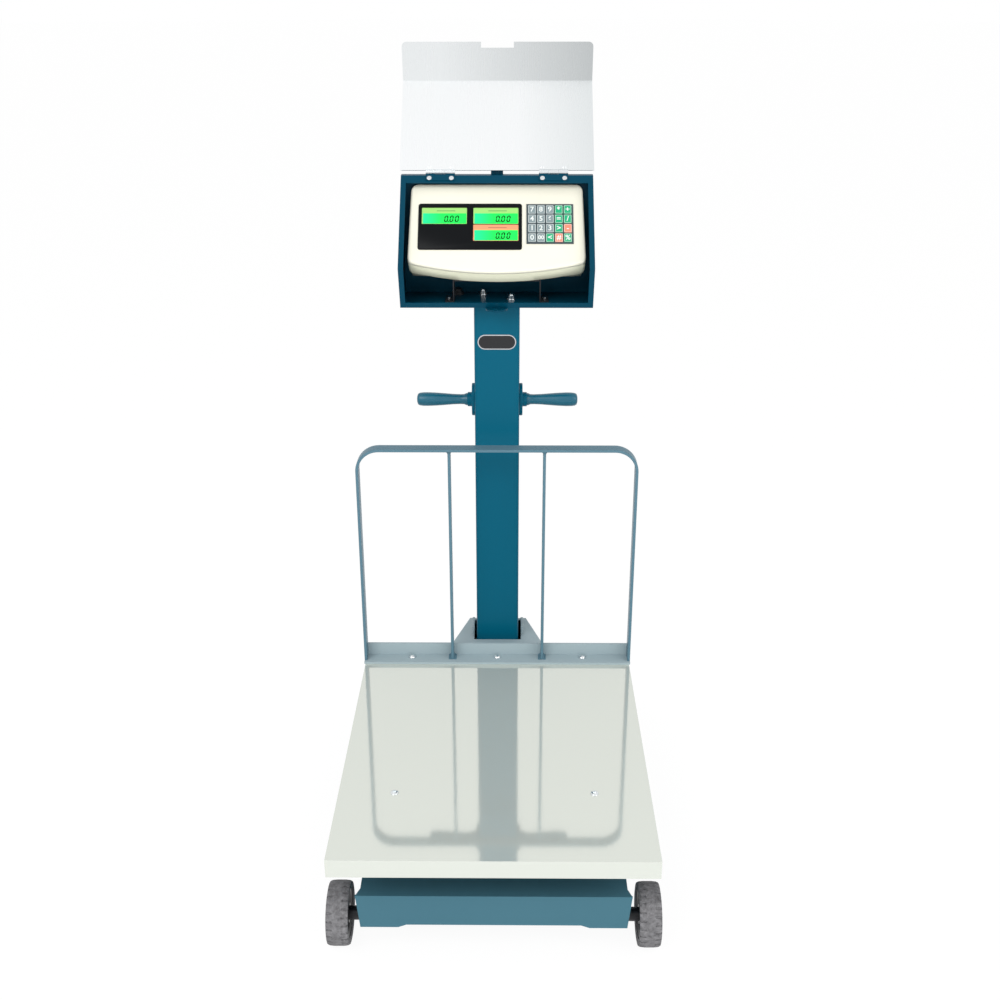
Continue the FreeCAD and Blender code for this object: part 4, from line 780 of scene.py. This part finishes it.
def make_case():
    """Two shells: the face with its lip square to it, and a belly that runs back under it."""
    high = spread("indicator_case", MOUTH)[1]
    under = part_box("indicator_base")[0].z
    face_z = high.z
    foot = spread("display_panel", MOUTH)[0].y - CASE_FOOT
    outline = case_outline(high.x, high.y, foot, CASE_BOW, CASE_CORNER)
    bm = bmesh.new()
    face = bm.faces.new([bm.verts.new(MOUTH @ Vector((x, y, face_z))) for x, y in outline])
    lip = bmesh.ops.extrude_face_region(bm, geom=[face])["geom"]
    inward = MOUTH.to_3x3() @ Vector((0, 0, -LIP))
    rear_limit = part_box("indicator_case")[1].y
    for item in lip:
        if isinstance(item, bmesh.types.BMVert):
            item.co += inward
            item.co.y = min(item.co.y, rear_limit)
    rear = [item for item in lip if isinstance(item, bmesh.types.BMFace)]
    belly = bmesh.ops.extrude_face_region(bm, geom=rear)["geom"]
    bmesh.ops.delete(bm, geom=rear, context="FACES_ONLY")
    ring = [item for item in belly if isinstance(item, bmesh.types.BMVert)]
    front = min(vert.co.y for vert in ring)
    back = max(vert.co.y for vert in ring)
    wide = max(vert.co.x for vert in ring)
    for vert in ring:
        share = (back - vert.co.y) / (back - front)
        vert.co.z = under
        vert.co.y += BELLY_RUN * share - BELLY_REAR * (1 - share)
        vert.co.x *= 1 - BELLY_TAPER / wide
    bmesh.ops.recalc_face_normals(bm, faces=bm.faces)
    outward = (MOUTH.to_3x3() @ Vector((0, 0, 1))).normalized()
    crown = max((f for f in bm.faces if f.normal.dot(outward) > 0.99),
                key=lambda f: f.calc_center_median().dot(outward))
    round_edges(bm, list(crown.edges), 4.0 * MM, 4)
    level = MOUTH @ Vector((0, 0, face_z - SEAM))
    lower = bm.copy()
    # the lower shell's darker tone is partly painted shade on the lip
    for shell, name, made, slot, node, way in (
            (bm, "case_upper", CREAM, "cream_plastic", "indicator_case", 1),
            (lower, "case_lower", STONE_AND_SHADE, "stone_plastic", "indicator_base", -1)):
        bmesh.ops.bisect_plane(shell, geom=shell.verts[:] + shell.edges[:] + shell.faces[:],
                               plane_co=level + outward * 0.3 * MM * way,
                               plane_no=outward * way, clear_inner=True)
        piece = keep(name, shell, "stand", [made], [node])
        wall = piece.modifiers.new("wall", "SOLIDIFY")
        wall.thickness = CASE_WALL
        wall.offset = -1
        if way > 0:
            cut_windows(piece)
        else:
            bake_modifiers(piece)


def bake_modifiers(piece):
    """Apply a piece's modifiers to its mesh."""
    graph = bpy.context.evaluated_depsgraph_get()
    mesh = bpy.data.meshes.new_from_object(piece.evaluated_get(graph))
    piece.modifiers.clear()
    piece.data = mesh


def cut_out(piece, bm):
    """Cut a mesh's shape out of a piece."""
    mesh = bpy.data.meshes.new("window_cutter")
    bm.to_mesh(mesh)
    bm.free()
    cutter = bpy.data.objects.new("window_cutter", mesh)
    scene.collection.objects.link(cutter)
    opening = piece.modifiers.new("windows", "BOOLEAN")
    opening.operation = "DIFFERENCE"
    opening.solver = "EXACT"
    opening.object = cutter
    bpy.context.view_layer.update()
    bake_modifiers(piece)
    bpy.data.objects.remove(cutter)


def cut_windows(piece):
    """Open the upper shell behind the display panel and behind the keys."""
    bm = bmesh.new()
    for node, edge in (("display_panel", 5.0 * MM), ("keypad_plate", 2.5 * MM)):
        low, high = spread(node, MOUTH)
        outline = rounded_outline((low.x + edge, low.y + edge), (high.x - edge, high.y - edge),
                                  1.0 * MM, 2)
        plate(bm, outline, MOUTH, low.z - 5.0 * MM, low.z + 5.0 * MM)
    cut_out(piece, bm)


def make_display():
    """A rounded black panel with three sunk windows."""
    low, high = spread("display_panel", MOUTH)
    bm = bmesh.new()
    top = plate(bm, rounded_outline(low.xy, high.xy, 4.5 * MM, 6), MOUTH, low.z, high.z)
    round_edges(bm, list(top.edges), 0.5 * MM, 2)
    piece = keep("display_panel_rounded", bm, "stand", [PANEL],
                 ["display_panel"])
    cutter = bmesh.new()
    grow = 0.2 * MM
    for first, last in lcd_boxes():
        outline = rounded_outline((first.x - grow, first.y - grow),
                                  (last.x + grow, last.y + grow), 1.2 * MM, 3)
        plate(cutter, outline, MOUTH, low.z - 5 * MM, high.z + 5 * MM)
    cut_out(piece, cutter)


def lcd_boxes():
    """The corners of the three windows: upper left, upper right, lower right."""
    back = MOUTH.inverted()
    points = [back @ vertex.co for vertex in frame["nodes"]["lcd_modules"].data.vertices]
    boxes = []
    middle_x = (min(p.x for p in points) + max(p.x for p in points)) / 2
    right = [p for p in points if p.x > middle_x]
    middle_y = (min(p.y for p in right) + max(p.y for p in right)) / 2
    for group in ([p for p in points if p.x < middle_x],
                  [p for p in right if p.y > middle_y], [p for p in right if p.y < middle_y]):
        boxes.append((Vector([min(p[axis] for p in group) for axis in range(3)]),
                      Vector([max(p[axis] for p in group) for axis in range(3)])))
    return boxes


def segment_outline(segment):
    """A pointed bar of a seven-segment digit whose foot is at (0, 0)."""
    wide, tall, half = DIGIT_WIDTH, DIGIT_HEIGHT, DIGIT_STROKE / 2
    gap = 0.12 * MM
    spans = {
        "bottom": ((half, half), (wide - half, half)),
        "middle": ((half, tall / 2), (wide - half, tall / 2)),
        "top": ((half, tall - half), (wide - half, tall - half)),
        "lower_left": ((half, half), (half, tall / 2)),
        "lower_right": ((wide - half, half), (wide - half, tall / 2)),
        "upper_left": ((half, tall / 2), (half, tall - half)),
        "upper_right": ((wide - half, tall / 2), (wide - half, tall - half)),
    }
    start, end = (Vector(point) for point in spans[segment])
    along = (end - start).normalized()
    across = Vector((-along.y, along.x)) * half
    start += along * gap
    end -= along * gap
    return [start, start + along * half - across, end - along * half - across, end,
            end - along * half + across, start + along * half + across]


def make_lcds():
    """Lit windows, each with a printed band over it and a reading of 0.00."""
    bm = bmesh.new()
    uv = bm.loops.layers.uv.new("across")
    digits = bmesh.new()
    edge = 0.9 * MM
    for index, (low, high) in enumerate(lcd_boxes()):
        band = 0.34 * (high.y - low.y)
        level = high.z
        label = 2 if index == 2 else 1
        plate(bm, rounded_outline(low.xy, high.xy, 1.4 * MM, 3), MOUTH, low.z, level,
              material=label)
        glass = plate(bm, rounded_outline((low.x + edge * 2.2, low.y + edge),
                                          (high.x - edge, high.y - band), 0.6 * MM, 2),
                      MOUTH, level, level + GLASS_RISE)
        for corner in glass.loops:
            spot = MOUTH.inverted() @ corner.vert.co
            corner[uv].uv = ((spot.x - low.x) / (high.x - low.x), 0.5)
        bar_low = (low.x + 0.33 * (high.x - low.x), high.y - band * 0.62)
        bar_high = (low.x + 0.74 * (high.x - low.x), high.y - band * 0.48)
        plate(bm, rounded_outline(bar_low, bar_high, 0.25 * MM, 2), MOUTH, level,
              level + BAR_RISE, material=label + 2)
        start = high.x - READING_WIDTH
        foot = low.y + READING_FOOT
        for place in range(3):
            shift = start + place * (DIGIT_WIDTH + DIGIT_GAP)
            for segment in SEGMENTS_OF_ZERO:
                outline = [(shift + p.x + DIGIT_LEAN * p.y, foot + p.y)
                           for p in segment_outline(segment)]
                plate(digits, outline, MOUTH, level + GLASS_RISE, level + DIGIT_RISE)
        dot = start + DIGIT_WIDTH + 0.5 * MM
        plate(digits, rounded_outline((dot, foot), (dot + 1.9 * MM, foot + 1.9 * MM),
                                      0.3 * MM, 2), MOUTH, level + GLASS_RISE,
              level + DIGIT_RISE)
    keep("lcd_windows", bm, "stand",
         [LIT, LABEL_GREEN, LABEL_SALMON, BAR, BAR_SALMON], ["lcd_modules"])
    keep("lcd_digits", digits, "stand", [INK])


KEY_SYMBOLS = {
    "plus": "+", "add": "=", "clear": "-", "light": "*", "recall": "/",
    "unit": ">", "hold": "<", "zero": "#", "tare": "%",
}


def make_keypad():
    """A dark film frame with twenty outlined keys and their numbers."""
    paint_node("keypad_plate", KEY_FRAME)
    slots = {row["node"]: row["material_slot"] for row in frame["record"]["subparts"]}
    for node in sorted(name for name in frame["nodes"] if name.startswith("key_")):
        name = node[4:]
        key_low, key_high = spread(node, MOUTH)
        bm = bmesh.new()
        inner = ((key_low.x + KEY_EDGE, key_low.y + KEY_EDGE),
                 (key_high.x - KEY_EDGE, key_high.y - KEY_EDGE))
        top = plate(bm, rounded_outline(*inner, 1.2 * MM, 3), MOUTH, key_low.z, key_high.z)
        round_edges(bm, list(top.edges), 0.25 * MM, 1)
        bm.faces.ensure_lookup_table()
        up = MOUTH.to_3x3() @ Vector((0, 0, 1))
        crown = max((f for f in bm.faces if f.normal.dot(up) > 0.99), key=lambda f: f.calc_area())
        bmesh.ops.inset_individual(bm, faces=[crown], thickness=0.35 * MM, depth=0)
        ring = bmesh.ops.inset_individual(bm, faces=[crown], thickness=0.55 * MM, depth=0)
        for face in ring["faces"]:
            face.material_index = 1
        keep("cap_" + name, bm, "button_" + name, [KEY_TONES[slots[node]], PRINT],
             [node])
        text = name if name.isdigit() else KEY_SYMBOLS.get(name)
        if text:
            make_legend(name, text, (key_low + key_high) / 2, key_high.z)


def make_legend(name, text, middle, level):
    """A raised print of a number or a sign on a key."""
    letters = bpy.data.curves.new("legend_curve_" + name, "FONT")
    letters.body = text
    letters.size = LEGEND_SIZE if len(text) == 1 else PAIR_SIZE
    letters.align_x = "CENTER"
    letters.align_y = "CENTER"
    letters.extrude = 0.04 * MM
    letters.offset = 0.3 * MM
    holder = bpy.data.objects.new("legend_holder", letters)
    scene.collection.objects.link(holder)
    bpy.context.view_layer.update()
    graph = bpy.context.evaluated_depsgraph_get()
    mesh = bpy.data.meshes.new_from_object(holder.evaluated_get(graph))
    bpy.data.objects.remove(holder)
    mesh.transform(MOUTH @ Matrix.Translation((middle.x, middle.y, level + 0.05 * MM)))
    piece = bpy.data.objects.new("legend_" + name, mesh)
    scene.collection.objects.link(piece)
    mesh.materials.clear()
    mesh.materials.append(PRINT)
    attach(piece, "button_" + name)


# --- stage -----------------------------------------------------------------------------------

def seen_directly(tree):
    """1 for rays from the camera, off gloss or through glass, and 0 for the light."""
    path = tree.nodes.new("ShaderNodeLightPath")
    share = math_node(tree, "ADD", path.outputs["Is Camera Ray"], path.outputs["Is Glossy Ray"])
    share = math_node(tree, "ADD", share, path.outputs["Is Transmission Ray"])
    node = tree.nodes.new("ShaderNodeClamp")
    tree.links.new(share, node.inputs[0])
    return node.outputs[0]


def make_stage():
    """A pale floor and world that show white, under soft studio lamps."""
    world = bpy.data.worlds.new("studio")
    scene.world = world
    world.use_nodes = True
    tree = world.node_tree
    background = tree.nodes["Background"]
    background.inputs["Color"].default_value = (1, 1, 1, 1)
    share = seen_directly(tree)
    strength = math_node(tree, "ADD", math_node(tree, "MULTIPLY", share, 1.0 - WORLD_LIGHT),
                         WORLD_LIGHT)
    tree.links.new(strength, background.inputs["Strength"])

    bm = bmesh.new()
    bmesh.ops.create_circle(bm, cap_ends=True, segments=64, radius=FLOOR_RADIUS)
    mesh = bpy.data.meshes.new("floor")
    bm.to_mesh(mesh)
    bm.free()
    floor = bpy.data.objects.new("floor", mesh)
    scene.collection.objects.link(floor)
    floor.location.z = -FLOOR_DROP
    made, tree, shader = new_material("pale_floor", (0.9, 0.9, 0.9, 1), 0.9)
    glow = tree.nodes.new("ShaderNodeEmission")
    blend = tree.nodes.new("ShaderNodeMixShader")
    glow.inputs["Strength"].default_value = 1.04
    tree.links.new(math_node(tree, "MULTIPLY", seen_directly(tree), 0.9), blend.inputs[0])
    tree.links.new(shader.outputs[0], blend.inputs[1])
    tree.links.new(glow.outputs[0], blend.inputs[2])
    tree.links.new(blend.outputs[0], tree.nodes["Material Output"].inputs["Surface"])
    mesh.materials.append(made)


def lamp(name, place, target, size, power, mirrored=True):
    """A square lamp that faces its target; gloss shows it only if it is mirrored."""
    data = bpy.data.lights.new(name, "AREA")
    data.energy = power
    data.size = size
    light = bpy.data.objects.new(name, data)
    scene.collection.objects.link(light)
    light.visible_glossy = mirrored
    light.location = place
    light.rotation_mode = "QUATERNION"
    light.rotation_quaternion = (Vector(target) - Vector(place)).to_track_quat("-Z", "Y")


def make_camera():
    """Eye height a little above the lid, looking down on the pan from in front."""
    data = bpy.data.cameras.new("camera")
    data.sensor_width = 36.0
    data.lens = CAMERA_LENS
    camera = bpy.data.objects.new("camera", data)
    scene.collection.objects.link(camera)
    yaw, pitch, roll = (math.radians(angle) for angle in CAMERA_TURN)
    forward = Vector((math.sin(yaw) * math.cos(pitch), math.cos(yaw) * math.cos(pitch),
                      -math.sin(pitch)))
    level = Vector((math.cos(yaw), -math.sin(yaw), 0))
    upward = level.cross(forward)
    right = math.cos(roll) * level + math.sin(roll) * upward
    up = math.cos(roll) * upward - math.sin(roll) * level
    turn = Matrix((right, up, -forward)).transposed()
    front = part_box("pan")[0].y
    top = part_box("pan")[1].z
    place = Matrix.Translation((CAMERA_ASIDE, front - CAMERA_BEFORE, top + CAMERA_ABOVE))
    camera.matrix_world = place @ turn.to_4x4()
    data.clip_start = 0.05
    scene.camera = camera


paint_lid_shade()
make_steelwork()
make_pan_screws()
make_guard_bolts()
make_hinges()
make_weld_beads()
make_badge()
make_grips()
make_wheels()
make_case()
make_display()
make_lcds()
make_keypad()
make_stage()
make_camera()
lamp("key_lamp", (-1.6, -2.4, 3.0), (0, 0, 0.6), 2.2, 55)
lamp("low_lamp", (0.4, -2.8, 0.35), (0, 0, 0.8), 1.6, 20, mirrored=False)
lamp("fill_lamp", (2.2, -1.6, 2.2), (0, 0, 0.7), 2.0, 25)
scene.view_settings.view_transform = "Standard"
